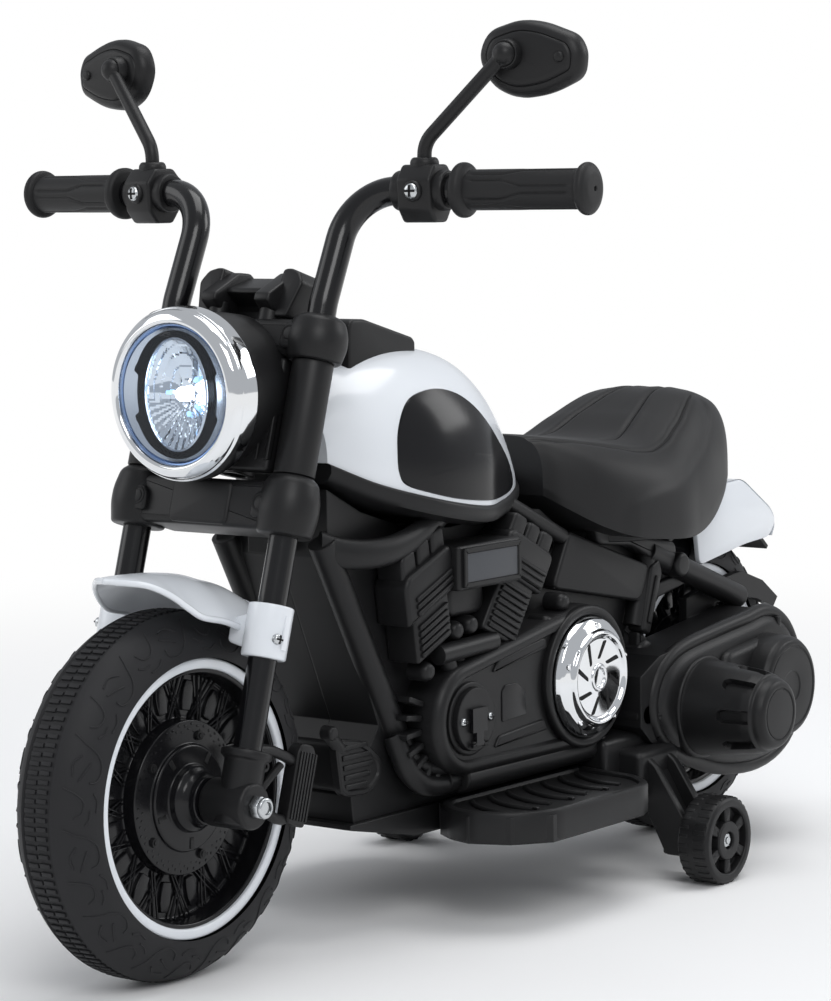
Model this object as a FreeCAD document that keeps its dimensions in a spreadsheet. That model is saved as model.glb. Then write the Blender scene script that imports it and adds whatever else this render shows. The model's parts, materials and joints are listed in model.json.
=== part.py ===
import FreeCAD, Part
import math
import os
import Sketcher

# Kids electric motorbike, in millimetres: it faces -Y, its left side is +X, it stands on Z = 0.

DIMENSIONS = {
    # Wheels and axles
    "wheelbase": 572,
    "tyre_radius": 115,
    "tyre_half_width": 29.6,
    "rim_seat_radius": 87,
    "rim_half_width": 24,
    "rim_lip_radius": 77,
    "rim_web_half": 9,
    "ring_inner_radius": 80,
    "ring_depth": 4,
    "brake_disc_radius": 48,
    "brake_disc_half": 19,
    "hub_cap_radius": 22,
    "hub_cap_half": 27,
    "hub_radius": 15,
    "hub_half_length": 38,
    "axle_radius": 4,
    "running_clearance": 0.05,
    "seat_gap": 0.3,
    "nut_radius": 7.5,
    "nut_height": 6,
    # Front fork
    "rake": 16.9,
    "fork_offset": 14,
    "leg_spread": 60,
    "leg_radius": 9,
    "tube_wall": 1.5,
    "leg_foot": 14,
    "leg_head": 288,
    "fork_end_radius": 13,
    "fork_end_top": 44,
    "fork_boss_radius": 15,
    "fork_boss_gap": 2,
    "fork_boss_face": 74,
    "caliper_reach": 50,
    "caliper_width": 19,
    "caliper_height": 50,
    "caliper_depth": 8,
    "stem_radius": 8,
    "head_tube_radius": 13,
    "clamp_lobe_radius": 17,
    "clamp_front": 13,
    "clamp_rear": 12,
    "lower_clamp_foot": 166,
    "lower_clamp_height": 38,
    "upper_clamp_foot": 276,
    "upper_clamp_height": 28,
    "fork_cover_radius": 13,
    "nacelle_half_width": 48,
    "nacelle_depth": 10,
    "bolt_spread": 42,
    "bolt_radius": 5,
    "bolt_height": 4,
    # Headlight
    "lamp_aft": 14,
    "lamp_up": 246,
    "bezel_radius": 54,
    "bezel_depth": 22,
    "bezel_window": 43,
    "bucket_radius": 49,
    "bucket_wall": 4,
    "bucket_start": 20,
    "bucket_floor": 33,
    "led_radius": 5.7,
    # Dash box between the bars
    "dash_half_width": 42,
    "dash_height": 33,
    "dash_depth": 34,
    "dash_post_height": 2,
    "dash_post_radius": 6,
    # Handlebars, grips and mirrors
    "bar_radius": 9,
    "bar_neck_rise": 26,
    "bar_neck_gap": 4,
    "bar_back": 31,
    "bar_rise": 68,
    "bar_bend": 34,
    "bar_sweep": 6.85,
    "grip_start": 76,
    "grip_length": 94,
    "grip_radius": 12.5,
    "grip_flange_radius": 17,
    "grip_flange_width": 8,
    "bar_clamp_at": 40,
    "bar_clamp_width": 24,
    "bar_clamp_radius": 17,
    "collar_radius": 9,
    "collar_height": 20,
    "mirror_stem_radius": 4.5,
    "mirror_stem_straight": 9,
    "mirror_ball_radius": 7.5,
    "mirror_out": 49,
    "mirror_back": 17,
    "mirror_lift": 70,
    "mirror_depth": 13,
    "mirror_toe": 9,
    "mirror_scale": 0.93,
    "mirror_glass_depth": 2,
    "mirror_socket_wall": 3.5,
    # Front fender
    "fender_half_width": 37,
    "fender_wall": 3,
    "sleeve_radius": 14,
    "sleeve_foot": 90,
    "sleeve_height": 33,
    # Main body
    "body_half_width": 40,
    "wall": 3,
    "deck_drop": 37,
    "deck_thickness": 18,
    "deck_half_width": 44,
    "footboard_half_width": 132,
    "footboard_wall": 4,
    "down_tube_radius": 9,
    "head_gusset_half": 12,
    "arch_radius": 124,
    "arch_half_width": 39.7,
    "engine_depth": 28,
    "front_cylinder_lean": 15,
    "rear_cylinder_lean": 30,
    "cylinder_width": 42,
    "cylinder_foot": 46,
    "cylinder_height": 50,
    "cylinder_head_width": 50,
    "cylinder_head_height": 30,
    "fin_pitch": 7,
    "fin_slot": 2.5,
    "fin_depth": 4,
    "front_crank_aft": 216,
    "front_crank_up": 8.5,
    "rear_crank_aft": 245,
    "rear_crank_up": 25,
    "primary_depth": 30,
    "primary_front_radius": 38,
    "primary_rear_radius": 50,
    "primary_front_aft": 229,
    "primary_front_up": 21,
    "primary_rear_aft": 362,
    "primary_rear_up": 32,
    "chrome_radius": 36,
    "chrome_depth": 14,
    "plate_aft": 246,
    "plate_up": 122,
    "plate_width": 68,
    "plate_height": 28,
    "plate_depth": 8,
    "exhaust_radius": 8,
    "exhaust_start": 216,
    "exhaust_end": 393,
    "exhaust_drop": 20,
    "exhaust_out": 14,
    "exhaust_rest_start": 230,
    "exhaust_rest_end": 376,
    # Tank, console and seat
    "tank_wall": 3,
    "tray_thickness": 13,
    "tray_overhang": 3,
    "console_half_width": 26,
    "console_front": 158,
    "console_length": 76,
    "console_top": 275,
    "console_crest": 11,
    "console_foot": 235,
    "button_radius": 8,
    "button_height": 5,
    "button_travel": 2.5,
    "button_stem_radius": 4,
    "rocker_width": 14,
    "rocker_length": 22,
    "rocker_height": 7,
    "rocker_pin_radius": 2,
    "seat_wall": 8,
    "channel_width": 2,
    "channel_depth": 3,
    "seat_base_thickness": 9,
    "tail_half_width": 43,
    # Drive
    "gearbox_depth": 40,
    "gearbox_wall": 3,
    "gear_boss_radius": 12,
    "gear_module": 2,
    "gear_teeth": 38,
    "idler_small_teeth": 12,
    "idler_large_teeth": 36,
    "idler_module": 1.5,
    "pinion_teeth": 10,
    "gear_backlash": 0.35,
    "gear_width": 8,
    "idler_pin_radius": 3,
    "motor_shaft_radius": 2,
    "motor_radius": 18,
    "motor_length": 57,
    "motor_drop": 5,
    "cover_plate": 6,
    "cover_wall": 3,
    "wing_gap": 2.3,
    "wing_depth": 6.7,
    "drum_radius": 33.5,
    "drum_end_radius": 22,
    "drum_length": 64,
    "drive_cap_radius": 37,
    "drive_cap_depth": 24,
    "rear_arm_depth": 12,
    "battery_length": 101,
    "battery_width": 70,
    "battery_height": 47,
    "board_length": 62,
    "board_width": 44,
    "board_height": 18,
    # Stabiliser wheels
    "stabiliser_radius": 30.5,
    "stabiliser_width": 25,
    "stabiliser_face": 149,
    "stabiliser_aft": -151,
    "stabiliser_arm_half": 16,
    "stabiliser_gap": 2,
    "stabiliser_bolt_radius": 4,
    # Charging port and pedal
    "port_radius": 21,
    "port_depth": 5,
    "socket_radius": 5,
    "socket_depth": 12,
    "flap_width": 16,
    "flap_height": 24,
    "flap_depth": 3,
    "flap_pin_radius": 1.5,
    "pedal_width": 36,
    "pedal_length": 70,
    "pedal_depth": 7,
    "pedal_pin_radius": 3,
    "pedal_ear": 5,
    "pedal_height": 10,
    "pedal_aft": 290,
    "pedal_centre": 92,
    "pedal_tilt": 10,
}

doc = FreeCAD.newDocument("kids_motorbike")
sheet = doc.addObject("Spreadsheet::Sheet", "Sizes")
for row, (alias, amount) in enumerate(DIMENSIONS.items(), start=1):
    sheet.set(f"A{row}", alias)
    sheet.set(f"B{row}", str(amount))
    sheet.setAlias(f"B{row}", alias)
doc.recompute()


class Size:
    """A length, angle or count: its value, and the sheet formula that gives it."""

    def __init__(self, value, formula):
        self.value = float(value)
        self.formula = formula

    def __add__(self, other):
        other = size(other)
        return Size(self.value + other.value, f"({self.formula} + {other.formula})")

    def __sub__(self, other):
        other = size(other)
        return Size(self.value - other.value, f"({self.formula} - {other.formula})")

    def __mul__(self, other):
        other = size(other)
        return Size(self.value * other.value, f"({self.formula} * {other.formula})")

    def __truediv__(self, other):
        other = size(other)
        return Size(self.value / other.value, f"({self.formula} / {other.formula})")

    def __radd__(self, other):
        return size(other) + self

    def __rsub__(self, other):
        return size(other) - self

    def __rmul__(self, other):
        return size(other) * self

    def __neg__(self):
        return size(0) - self


def size(amount):
    return amount if isinstance(amount, Size) else Size(amount, f"({amount})")


def sine(angle):
    return Size(math.sin(math.radians(angle.value)), f"sin({angle.formula})")


def cosine(angle):
    return Size(math.cos(math.radians(angle.value)), f"cos({angle.formula})")


def length_of(a, b):
    return Size(math.hypot(a.value, b.value), f"sqrt({a.formula}^2 + {b.formula}^2)")


def larger(a, b):
    return Size(max(a.value, b.value), f"max({a.formula}; {b.formula})")


def angle_of(rise, run):
    return Size(math.degrees(math.atan2(rise.value, run.value)), f"atan2({rise.formula}; {run.formula})")


class Dimensions:
    """Reads a driving dimension from the sheet by its name."""

    def __getattr__(self, name):
        return Size(sheet.get(name), f"Sizes.{name}")


d = Dimensions()
ORIGIN = (0, 0, 0)
X_AXIS = FreeCAD.Vector(1, 0, 0)
Y_AXIS = FreeCAD.Vector(0, 1, 0)
Z_AXIS = FreeCAD.Vector(0, 0, 1)

front_y = d.wheelbase / -2
rear_y = d.wheelbase / 2
hub_z = d.tyre_radius
SUBPARTS = []


def fore(distance):
    """A Y place, measured back from the front axle."""
    return front_y + distance


def aft(distance):
    """A Y place, measured back from the rear axle."""
    return rear_y + distance


def up(height):
    """A Z place, measured up from the axles."""
    return hub_z + height


def keep(obj, label):
    """Names an object as a finished sub-part."""
    obj.Label = label
    SUBPARTS.append(obj)
    return obj


def bind(obj, prop, amount):
    obj.setExpression(prop, size(amount).formula)


def vector(point):
    return FreeCAD.Vector(*[size(c).value for c in point])


def place(obj, at=ORIGIN, axis=Z_AXIS, angle=0):
    """Sets where an object stands and how far it is turned about an axis."""
    turn = size(angle)
    obj.Placement = FreeCAD.Placement(vector(at), FreeCAD.Rotation(axis, turn.value))
    for letter, amount in zip("xyz", at):
        bind(obj, f"Placement.Base.{letter}", amount)
    if isinstance(angle, Size):
        bind(obj, "Placement.Rotation.Angle", angle)
    return obj


TURN = {"x": (Y_AXIS, 90), "y": (-X_AXIS, 90), "z": (Z_AXIS, 0)}


def box(low, high):
    obj = doc.addObject("Part::Box", "box")
    for prop, a, b in zip(("Length", "Width", "Height"), low, high):
        bind(obj, prop, size(b) - a)
    return place(obj, low)


def rod(radius, start, length, along="x"):
    """A cylinder from a start point along one axis."""
    obj = doc.addObject("Part::Cylinder", "rod")
    bind(obj, "Radius", radius)
    bind(obj, "Height", length)
    return place(obj, start, *TURN[along])


def cone(foot, head, start, length, along="x"):
    obj = doc.addObject("Part::Cone", "cone")
    bind(obj, "Radius1", foot)
    bind(obj, "Radius2", head)
    bind(obj, "Height", length)
    return place(obj, start, *TURN[along])


def ball(radius, centre):
    obj = doc.addObject("Part::Sphere", "ball")
    bind(obj, "Radius", radius)
    return place(obj, centre)


def prism(sides, radius, start, length, along="x"):
    """A regular prism, such as a hexagon nut or an octagon block."""
    obj = doc.addObject("Part::Prism", "prism")
    obj.Polygon = sides
    bind(obj, "Circumradius", radius)
    bind(obj, "Height", length)
    return place(obj, start, *TURN[along])


def leaning_rod(radius, foot, head):
    """A cylinder between two points that differ in Y and Z."""
    run = size(head[1]) - foot[1]
    rise = size(head[2]) - foot[2]
    obj = doc.addObject("Part::Cylinder", "strut")
    bind(obj, "Radius", radius)
    bind(obj, "Height", length_of(run, rise))
    return place(obj, foot, -X_AXIS, angle_of(run, rise))


def fuse(*pieces):
    obj = doc.addObject("Part::MultiFuse", "joined")
    obj.Shapes = list(pieces)
    return obj


def cut(base, *tools):
    obj = doc.addObject("Part::Cut", "cut")
    obj.Base = base
    obj.Tool = tools[0] if len(tools) == 1 else fuse(*tools)
    return obj


def common(a, b):
    obj = doc.addObject("Part::Common", "common")
    obj.Base = a
    obj.Tool = b
    return obj


def group(*pieces):
    obj = doc.addObject("Part::Compound", "group")
    obj.Links = list(pieces)
    return obj


def mirrored(source):
    """The right-hand copy of a left-hand piece."""
    obj = doc.addObject("Part::Mirroring", "mirrored")
    obj.Source = source
    obj.Base = ORIGIN
    obj.Normal = X_AXIS
    return obj


def tie(sketch, kind, vertex, amount):
    """Holds one coordinate of a sketch vertex at a size."""
    amount = size(amount)
    if amount.value < 0:
        number = sketch.addConstraint(Sketcher.Constraint(kind, vertex, 1, -1, 1, -amount.value))
        sketch.setExpression(f"Constraints[{number}]", (-amount).formula)
    elif amount.value > 0:
        number = sketch.addConstraint(Sketcher.Constraint(kind, -1, 1, vertex, 1, amount.value))
        sketch.setExpression(f"Constraints[{number}]", amount.formula)
    else:
        line = -2 if kind == "DistanceX" else -1
        sketch.addConstraint(Sketcher.Constraint("PointOnObject", vertex, 1, line))


def outline(body, role, points, offset=0):
    """A closed polygon sketch on one of a body's origin planes."""
    sketch = body.newObject("Sketcher::SketchObject", "outline")
    plane = next(item for item in body.Origin.OriginFeatures if item.Role == role)
    sketch.AttachmentSupport = [(plane, "")]
    sketch.MapMode = "FlatFace"
    bind(sketch, "AttachmentOffset.Base.z", offset)
    corners = [vector((x, y, 0)) for x, y in points]
    count = len(corners)
    for i in range(count):
        sketch.addGeometry(Part.LineSegment(corners[i], corners[(i + 1) % count]), False)
    for i in range(count):
        sketch.addConstraint(Sketcher.Constraint("Coincident", i, 2, (i + 1) % count, 1))
    for i, (x, y) in enumerate(points):
        tie(sketch, "DistanceX", i, x)
        tie(sketch, "DistanceY", i, y)
    return sketch


def slab(role, points, start, end):
    """A polygon padded from one level to another along its plane's normal."""
    body = doc.addObject("PartDesign::Body", "slab")
    sketch = outline(body, role, points, start)
    pad = body.newObject("PartDesign::Pad", "pad")
    pad.Profile = sketch
    bind(pad, "Length", size(end) - start)
    return body


def side_slab(points, start, end):
    """A slab whose outline is drawn in side view, as (Y, Z), between two X places."""
    return slab("YZ_Plane", points, start, end)


def front_slab(points, start, end):
    """A slab whose outline is drawn from the front, as (X, Z), between two Y places."""
    return slab("XZ_Plane", points, -size(end), -size(start))


def plan_slab(points, start, end):
    """A slab whose outline is drawn from above, as (X, Y), between two Z places."""
    return slab("XY_Plane", points, start, end)


def turned(points, centre=ORIGIN, along="x", sweep=360):
    """A turned piece: its (radius, distance) outline spun about an axis."""
    body = doc.addObject("PartDesign::Body", "turned")
    sketch = outline(body, "XZ_Plane", points)
    spin = body.newObject("PartDesign::Revolution", "spin")
    spin.Profile = sketch
    spin.ReferenceAxis = (sketch, ["V_Axis"])
    spin.Angle = sweep
    return place(body, centre, *TURN[along])


def spread(points):
    """A half outline from the bore outwards, followed by its mirror image."""
    return points + [(radius, -size(distance)) for radius, distance in reversed(points)]


# Wheels: a foam tyre on a black moulded rim, with a white ring on each face
bore = d.axle_radius + d.running_clearance


def wheel(name, y):
    across = d.tyre_half_width * 2
    torus = doc.addObject("Part::Torus", "tube")
    bind(torus, "Radius1", d.rim_seat_radius)
    bind(torus, "Radius2", d.tyre_half_width)
    place(torus, (0, y, hub_z), *TURN["x"])
    tread = rod(d.tyre_radius, (-d.tyre_half_width, y, hub_z), across)
    seat = rod(d.rim_seat_radius, (-d.tyre_half_width, y, hub_z), across)
    keep(cut(common(torus, tread), seat), f"{name}_tyre")
    half = [
        (bore, d.hub_half_length),
        (d.hub_radius, d.hub_half_length),
        (d.hub_radius, d.hub_cap_half),
        (d.hub_cap_radius, d.hub_cap_half),
        (d.hub_cap_radius, d.brake_disc_half),
        (d.brake_disc_radius, d.brake_disc_half),
        (d.brake_disc_radius, d.rim_web_half),
        (d.rim_lip_radius, d.rim_web_half),
        (d.rim_lip_radius, d.rim_half_width),
        (d.rim_seat_radius, d.rim_half_width),
    ]
    keep(turned(spread(half), (0, y, hub_z)), f"{name}_rim")
    face = d.rim_half_width + d.ring_depth
    band = [
        (d.ring_inner_radius, d.rim_half_width),
        (d.rim_seat_radius, d.rim_half_width),
        (d.rim_seat_radius, face),
        (d.ring_inner_radius, face),
    ]
    ring = turned(band, (0, y, hub_z))
    keep(group(ring, mirrored(ring)), f"{name}_rim_rings")


wheel("front", front_y)
wheel("rear", rear_y)

# Fork frame: its Z runs up the steering axis, and its origin is square behind the front axle
fork_y = fore(d.fork_offset * cosine(d.rake))
fork_z = up(-(d.fork_offset * sine(d.rake)))
leg_y = -d.fork_offset


def raked(obj):
    """Leans a piece drawn upright back with the steering axis."""
    return place(group(obj), (0, fork_y, fork_z), -X_AXIS, d.rake)


def fork_point(x, y, z):
    """Where a point of the fork frame is on the bike."""
    back = fork_y + y * cosine(d.rake) + z * sine(d.rake)
    high = fork_z - y * sine(d.rake) + z * cosine(d.rake)
    return (x, back, high)


def both_legs(radius, start, length):
    left = rod(radius, (d.leg_spread, leg_y, start), length, "z")
    right = rod(radius, (-d.leg_spread, leg_y, start), length, "z")
    return left, right


lower_top = d.lower_clamp_foot + d.lower_clamp_height
upper_top = d.upper_clamp_foot + d.upper_clamp_height
leg_hole = d.leg_radius + d.running_clearance

# Fork legs: two glossy steel tubes
legs = both_legs(d.leg_radius, d.leg_foot, d.leg_head - d.leg_foot)
leg_bores = both_legs(d.leg_radius - d.tube_wall, d.leg_foot, d.leg_head - d.leg_foot)
keep(raked(cut(group(*legs), *leg_bores)), "fork_legs")


# Fork ends: castings with the axle boss and a ribbed caliper plate on two arms
def fork_end():
    socket = rod(d.fork_end_radius, (d.leg_spread, leg_y, 0), d.fork_end_top, "z")
    inner = d.hub_half_length + d.fork_boss_gap
    boss = rod(d.fork_boss_radius, (inner, leg_y, 0), d.fork_boss_face - inner)
    plate_low = d.caliper_reach - d.caliper_width / 2
    plate_high = d.caliper_reach + d.caliper_width / 2
    outer = d.leg_spread - d.caliper_depth / 2
    foot = d.caliper_height / -10
    plate = box((outer - d.caliper_depth, plate_low, foot), (outer, plate_high, foot + d.caliper_height))
    arm_width = d.caliper_depth * 0.75
    arms = []
    for rise in (d.caliper_height * 0.1, d.caliper_height * 0.6):
        arms.append(box((outer - d.caliper_depth, leg_y, rise), (outer, plate_low + 1, rise + arm_width)))
    leg = rod(leg_hole, (d.leg_spread, leg_y, d.leg_foot), d.fork_end_top, "z")
    axle = rod(bore, (0, leg_y, 0), d.fork_boss_face * 2)
    return cut(fuse(socket, boss, plate, *arms), leg, axle)


left_end = raked(fork_end())
keep(group(left_end, mirrored(left_end)), "fork_ends")

# Front axle: a steel rod with a lock nut on each end
axle_reach = d.fork_boss_face + d.nut_height + 2
keep(rod(d.axle_radius, (-axle_reach, front_y, hub_z), axle_reach * 2), "front_axle")


def axle_nut(y, face):
    nut = prism(6, d.nut_radius, (face, y, hub_z), d.nut_height)
    return cut(nut, rod(bore, (face, y, hub_z), d.nut_height))


front_nut = axle_nut(front_y, d.fork_boss_face)


# Triple clamps: a bridge with a round lobe on each fork leg, and the steering stem between
def triple_clamp(foot, height, *stem_holes):
    lobes = both_legs(d.clamp_lobe_radius, foot, height)
    margin = height / 8
    bridge = box((-d.leg_spread, leg_y - d.clamp_front, foot + margin),
                 (d.leg_spread, d.clamp_rear, foot + height - margin))
    holes = both_legs(leg_hole, foot, height)
    return cut(fuse(bridge, *lobes), *holes, *stem_holes)


stem_foot = d.lower_clamp_foot - 4
stem_top = upper_top - d.upper_clamp_height / 4
stem = rod(d.stem_radius, (0, 0, stem_foot), stem_top - stem_foot, "z")
keep(raked(fuse(triple_clamp(d.lower_clamp_foot, d.lower_clamp_height), stem)), "lower_clamp")
stem_hole = rod(d.stem_radius + d.running_clearance, (0, 0, stem_foot), stem_top - stem_foot, "z")
keep(raked(triple_clamp(d.upper_clamp_foot, d.upper_clamp_height, stem_hole)), "upper_clamp")

# Clamp bolts, on the front face of both bridges
bolts = []
lower_middle = d.lower_clamp_foot + d.lower_clamp_height / 2
upper_middle = d.upper_clamp_foot + d.upper_clamp_height / 2
for bolt_z in (lower_middle, upper_middle):
    for bolt_x in (-d.bolt_spread, d.bolt_spread):
        face_y = leg_y - d.clamp_front - d.bolt_height
        bolts.append(prism(6, d.bolt_radius, (bolt_x, face_y, bolt_z), d.bolt_height, "y"))
clamp_bolts = raked(group(*bolts))

# Headlight: nacelle panel with the upper fork covers, round bucket, chrome bezel, lens and lamp
lamp_y = fore(d.lamp_aft)
lamp_z = up(d.lamp_up)
nacelle_rear = leg_y - 2
nacelle_front = nacelle_rear - d.nacelle_depth
panel = box((-d.nacelle_half_width, nacelle_front, lower_top),
            (d.nacelle_half_width, nacelle_rear, d.upper_clamp_foot))
covers = both_legs(d.fork_cover_radius, lower_top, d.upper_clamp_foot - lower_top)
cover_holes = both_legs(leg_hole, lower_top, d.upper_clamp_foot - lower_top)
nacelle = raked(cut(fuse(panel, *covers), *cover_holes))
behind_nacelle = raked(box((-d.leg_spread, nacelle_rear - 2, d.lower_clamp_foot),
                           (d.leg_spread, d.leg_spread, upper_top)))
clamp_room = d.leg_spread + d.clamp_lobe_radius
clamp_face = leg_y - d.clamp_front - d.bolt_height - d.seat_gap
over_clamp = raked(box((-clamp_room, clamp_face, d.upper_clamp_foot - d.seat_gap),
                       (clamp_room, 0, upper_top * 2)))
under_clamp = raked(box((-clamp_room, clamp_face, 0), (clamp_room, 0, lower_top + d.seat_gap)))
bucket_y = lamp_y + d.bucket_start
bucket_tube = rod(d.bucket_radius, (0, bucket_y, lamp_z), d.bucket_radius, "y")
cavity_depth = d.bucket_floor - d.bucket_start
cavity = rod(d.bucket_radius - d.bucket_wall, (0, bucket_y, lamp_z), cavity_depth, "y")
bucket = cut(bucket_tube, behind_nacelle, over_clamp, under_clamp)
keep(cut(fuse(nacelle, bucket), cavity), "headlight_bucket")

rim_fit = d.bucket_radius + d.seat_gap
bezel = [
    (d.bezel_window, 3),
    (d.bezel_window + 4, 0),
    (d.bezel_radius - 2, 2),
    (d.bezel_radius, 8),
    (d.bezel_radius, d.bezel_depth),
    (rim_fit, d.bezel_depth),
    (rim_fit, d.bucket_start),
    (d.bezel_window, d.bucket_start),
]
keep(turned(bezel, (0, lamp_y, lamp_z), "y"), "headlight_bezel")
flange_radius = d.bucket_radius - d.bucket_wall - d.seat_gap
lamp_hole = d.led_radius + d.seat_gap
bowl_lip = d.bezel_window - 3
reflector = [
    (bowl_lip, d.bucket_start),
    (flange_radius, d.bucket_start),
    (flange_radius, d.bucket_start + 3),
    (bowl_lip, d.bucket_start + 3),
    (lamp_hole + 5, d.bucket_floor),
    (lamp_hole, d.bucket_floor),
    (lamp_hole, d.bucket_floor - 2),
]
keep(turned(reflector, (0, lamp_y, lamp_z), "y"), "headlight_reflector")
lens_edge = d.bezel_window - d.seat_gap
lens = [
    (0, 8),
    (lens_edge / 2, 9),
    (lens_edge, 14),
    (lens_edge, d.bucket_start),
    (bowl_lip - 1, d.bucket_start),
    (bowl_lip - 1, 16),
    (lens_edge / 2, 11.5),
    (0, 10.5),
]
keep(turned(lens, (0, lamp_y, lamp_z), "y"), "headlight_lens")
led = [
    (0, 25),
    (d.led_radius / 2, 25),
    (d.led_radius, 28),
    (d.led_radius, d.bucket_floor),
    (0, d.bucket_floor),
]
keep(turned(led, (0, lamp_y, lamp_z), "y"), "headlight_lamp")

# Dash box on two posts over the upper clamp
dash_foot = upper_top - d.upper_clamp_height / 8
dash_floor = dash_foot + d.dash_post_height
posts = []
for post_x in (d.dash_half_width * -0.45, d.dash_half_width * 0.45):
    posts.append(rod(d.dash_post_radius, (post_x, leg_y, dash_foot), d.dash_post_height + 1, "z"))
dash_face = [
    (d.dash_half_width * -0.65, dash_floor),
    (d.dash_half_width * 0.65, dash_floor),
    (d.dash_half_width, dash_floor + d.dash_height * 0.6),
    (d.dash_half_width * 0.85, dash_floor + d.dash_height),
    (d.dash_half_width * -0.85, dash_floor + d.dash_height),
    (-d.dash_half_width, dash_floor + d.dash_height * 0.6),
]
dash_front = leg_y - d.dash_depth * 0.4
keep(raked(fuse(front_slab(dash_face, dash_front, dash_front + d.dash_depth), *posts)), "dash_box")


# Handlebars: bent steel tubes that rise out of the upper clamp and turn out to the grips
def bent_wire(points, bend):
    """A path of straight runs joined by tangent arcs."""
    edges = []
    last = points[0]
    for before, corner, after in zip(points, points[1:], points[2:]):
        back = (before - corner).normalize()
        ahead = (after - corner).normalize()
        turn = math.pi - back.getAngle(ahead)
        reach = bend * math.tan(turn / 2)
        inward = (back + ahead).normalize()
        middle = corner + inward * (bend / math.cos(turn / 2) - bend)
        arc_start = corner + back * reach
        arc_end = corner + ahead * reach
        edges.append(Part.LineSegment(last, arc_start).toShape())
        edges.append(Part.Arc(arc_start, middle, arc_end).toShape())
        last = arc_end
    edges.append(Part.LineSegment(last, points[-1]).toShape())
    return Part.Wire(edges)


def bent_rod(points, radius, bend):
    path = bent_wire(points, bend)
    heading = points[1] - points[0]
    section = Part.Wire(Part.Circle(points[0], heading, radius).toShape())
    return path.makePipeShell([section], True, True)


def feature(shape, name):
    obj = doc.addObject("Part::Feature", name)
    obj.Shape = shape
    return obj


bar_foot = fork_point(d.leg_spread, leg_y, d.leg_head)
bar_neck = fork_point(d.leg_spread, leg_y, larger(d.leg_head + d.bar_neck_rise, upper_top + d.bar_neck_gap))
bar_corner = (d.leg_spread, bar_neck[1] + d.bar_back, bar_neck[2] + d.bar_rise)


def along_bar(distance, rise=0):
    """A point on the grip's axis, measured out from the bar's corner."""
    out = bar_corner[0] + distance * cosine(d.bar_sweep)
    back = bar_corner[1] + distance * sine(d.bar_sweep)
    return (out, back, bar_corner[2] + rise)


grip_end = d.grip_start + d.grip_length
bar_path = [vector(p) for p in (bar_foot, bar_neck, bar_corner, along_bar(grip_end - 4))]
bar_bore = feature(bent_rod(bar_path, d.bar_radius.value - d.tube_wall.value, d.bar_bend.value), "bar_bore")
left_bar = cut(feature(bent_rod(bar_path, d.bar_radius.value, d.bar_bend.value), "bar"), bar_bore)
keep(group(left_bar, mirrored(left_bar)), "handlebars")


def swept(obj):
    """Sets a piece drawn along X from the bar's corner onto the grip's axis."""
    return place(obj, bar_corner, Z_AXIS, d.bar_sweep)


grip_bore = d.bar_radius + d.running_clearance
flange_end = d.grip_start + d.grip_flange_width
knob_start = grip_end - d.grip_flange_width
grip = [
    (grip_bore, d.grip_start),
    (d.grip_flange_radius, d.grip_start),
    (d.grip_flange_radius, flange_end),
    (d.grip_radius, flange_end),
    (d.grip_radius, knob_start),
    (d.grip_flange_radius - 1, knob_start),
    (d.grip_flange_radius - 1, grip_end - 2),
    (d.grip_radius, grip_end),
    (0, grip_end),
    (0, grip_end - 3),
    (grip_bore, grip_end - 3),
]
left_grip = swept(group(turned(grip)))
keep(group(left_grip, mirrored(left_grip)), "grips")

# Bar clamps: octagon blocks on the bars, with a collar for the mirror stem
clamp_middle = d.bar_clamp_at + d.bar_clamp_width / 2
collar_bore = d.mirror_stem_radius + d.running_clearance
block = prism(8, d.bar_clamp_radius, (d.bar_clamp_at, 0, 0), d.bar_clamp_width)
collar = rod(d.collar_radius, (clamp_middle, 0, d.bar_radius + 2), d.collar_height - d.bar_radius - 2, "z")
collar_hole = rod(collar_bore, (clamp_middle, 0, d.bar_radius + 3), d.collar_height, "z")
bar_hole = rod(grip_bore, (d.bar_clamp_at, 0, 0), d.bar_clamp_width)
left_clamp = swept(cut(fuse(block, collar), bar_hole, collar_hole))
keep(group(left_clamp, mirrored(left_clamp)), "bar_clamps")
screw_head = rod(d.bolt_radius, (clamp_middle, -d.bar_clamp_radius - 1, 0), 6, "y")
clamp_screw = swept(cut(screw_head, block))

# Mirrors: bent stems with a ball, and heads that tilt on the ball
mirror_foot = along_bar(clamp_middle, d.bar_radius + 3)
mirror_bend = along_bar(clamp_middle, d.collar_height + d.mirror_stem_straight)
mirror_ball = (mirror_bend[0] + d.mirror_out, mirror_bend[1] + d.mirror_back, mirror_foot[2] + d.mirror_lift)
stem_path = [vector(p) for p in (mirror_foot, mirror_bend, mirror_ball)]
stem_bend = d.mirror_stem_straight.value * 2
stem_shape = bent_rod(stem_path, d.mirror_stem_radius.value, stem_bend)
mirror_stem = fuse(feature(stem_shape, "stem"), ball(d.mirror_ball_radius, mirror_ball))
keep(group(mirror_stem, mirrored(mirror_stem)), "mirror_stems")

MIRROR_OUTLINE = [(-26, 0), (-20, 14), (8, 21), (44, 15), (52, -1), (49, -22), (33, -26.5), (3, -27.5),
                  (-16, -19)]
socket_radius = d.mirror_ball_radius + d.seat_gap
boss_radius = socket_radius + d.mirror_socket_wall
back_y = d.mirror_ball_radius * 0.85
face_y = back_y + d.mirror_depth
glass_y = face_y - d.mirror_glass_depth


def mirror_points(inset):
    return [(d.mirror_scale * x * inset, size(z * inset)) for x, z in MIRROR_OUTLINE]


def toed(obj):
    """Sets a mirror piece drawn about the ball onto the stem, turned a little to the rider."""
    return place(group(obj), mirror_ball, Z_AXIS, d.mirror_toe)


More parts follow.
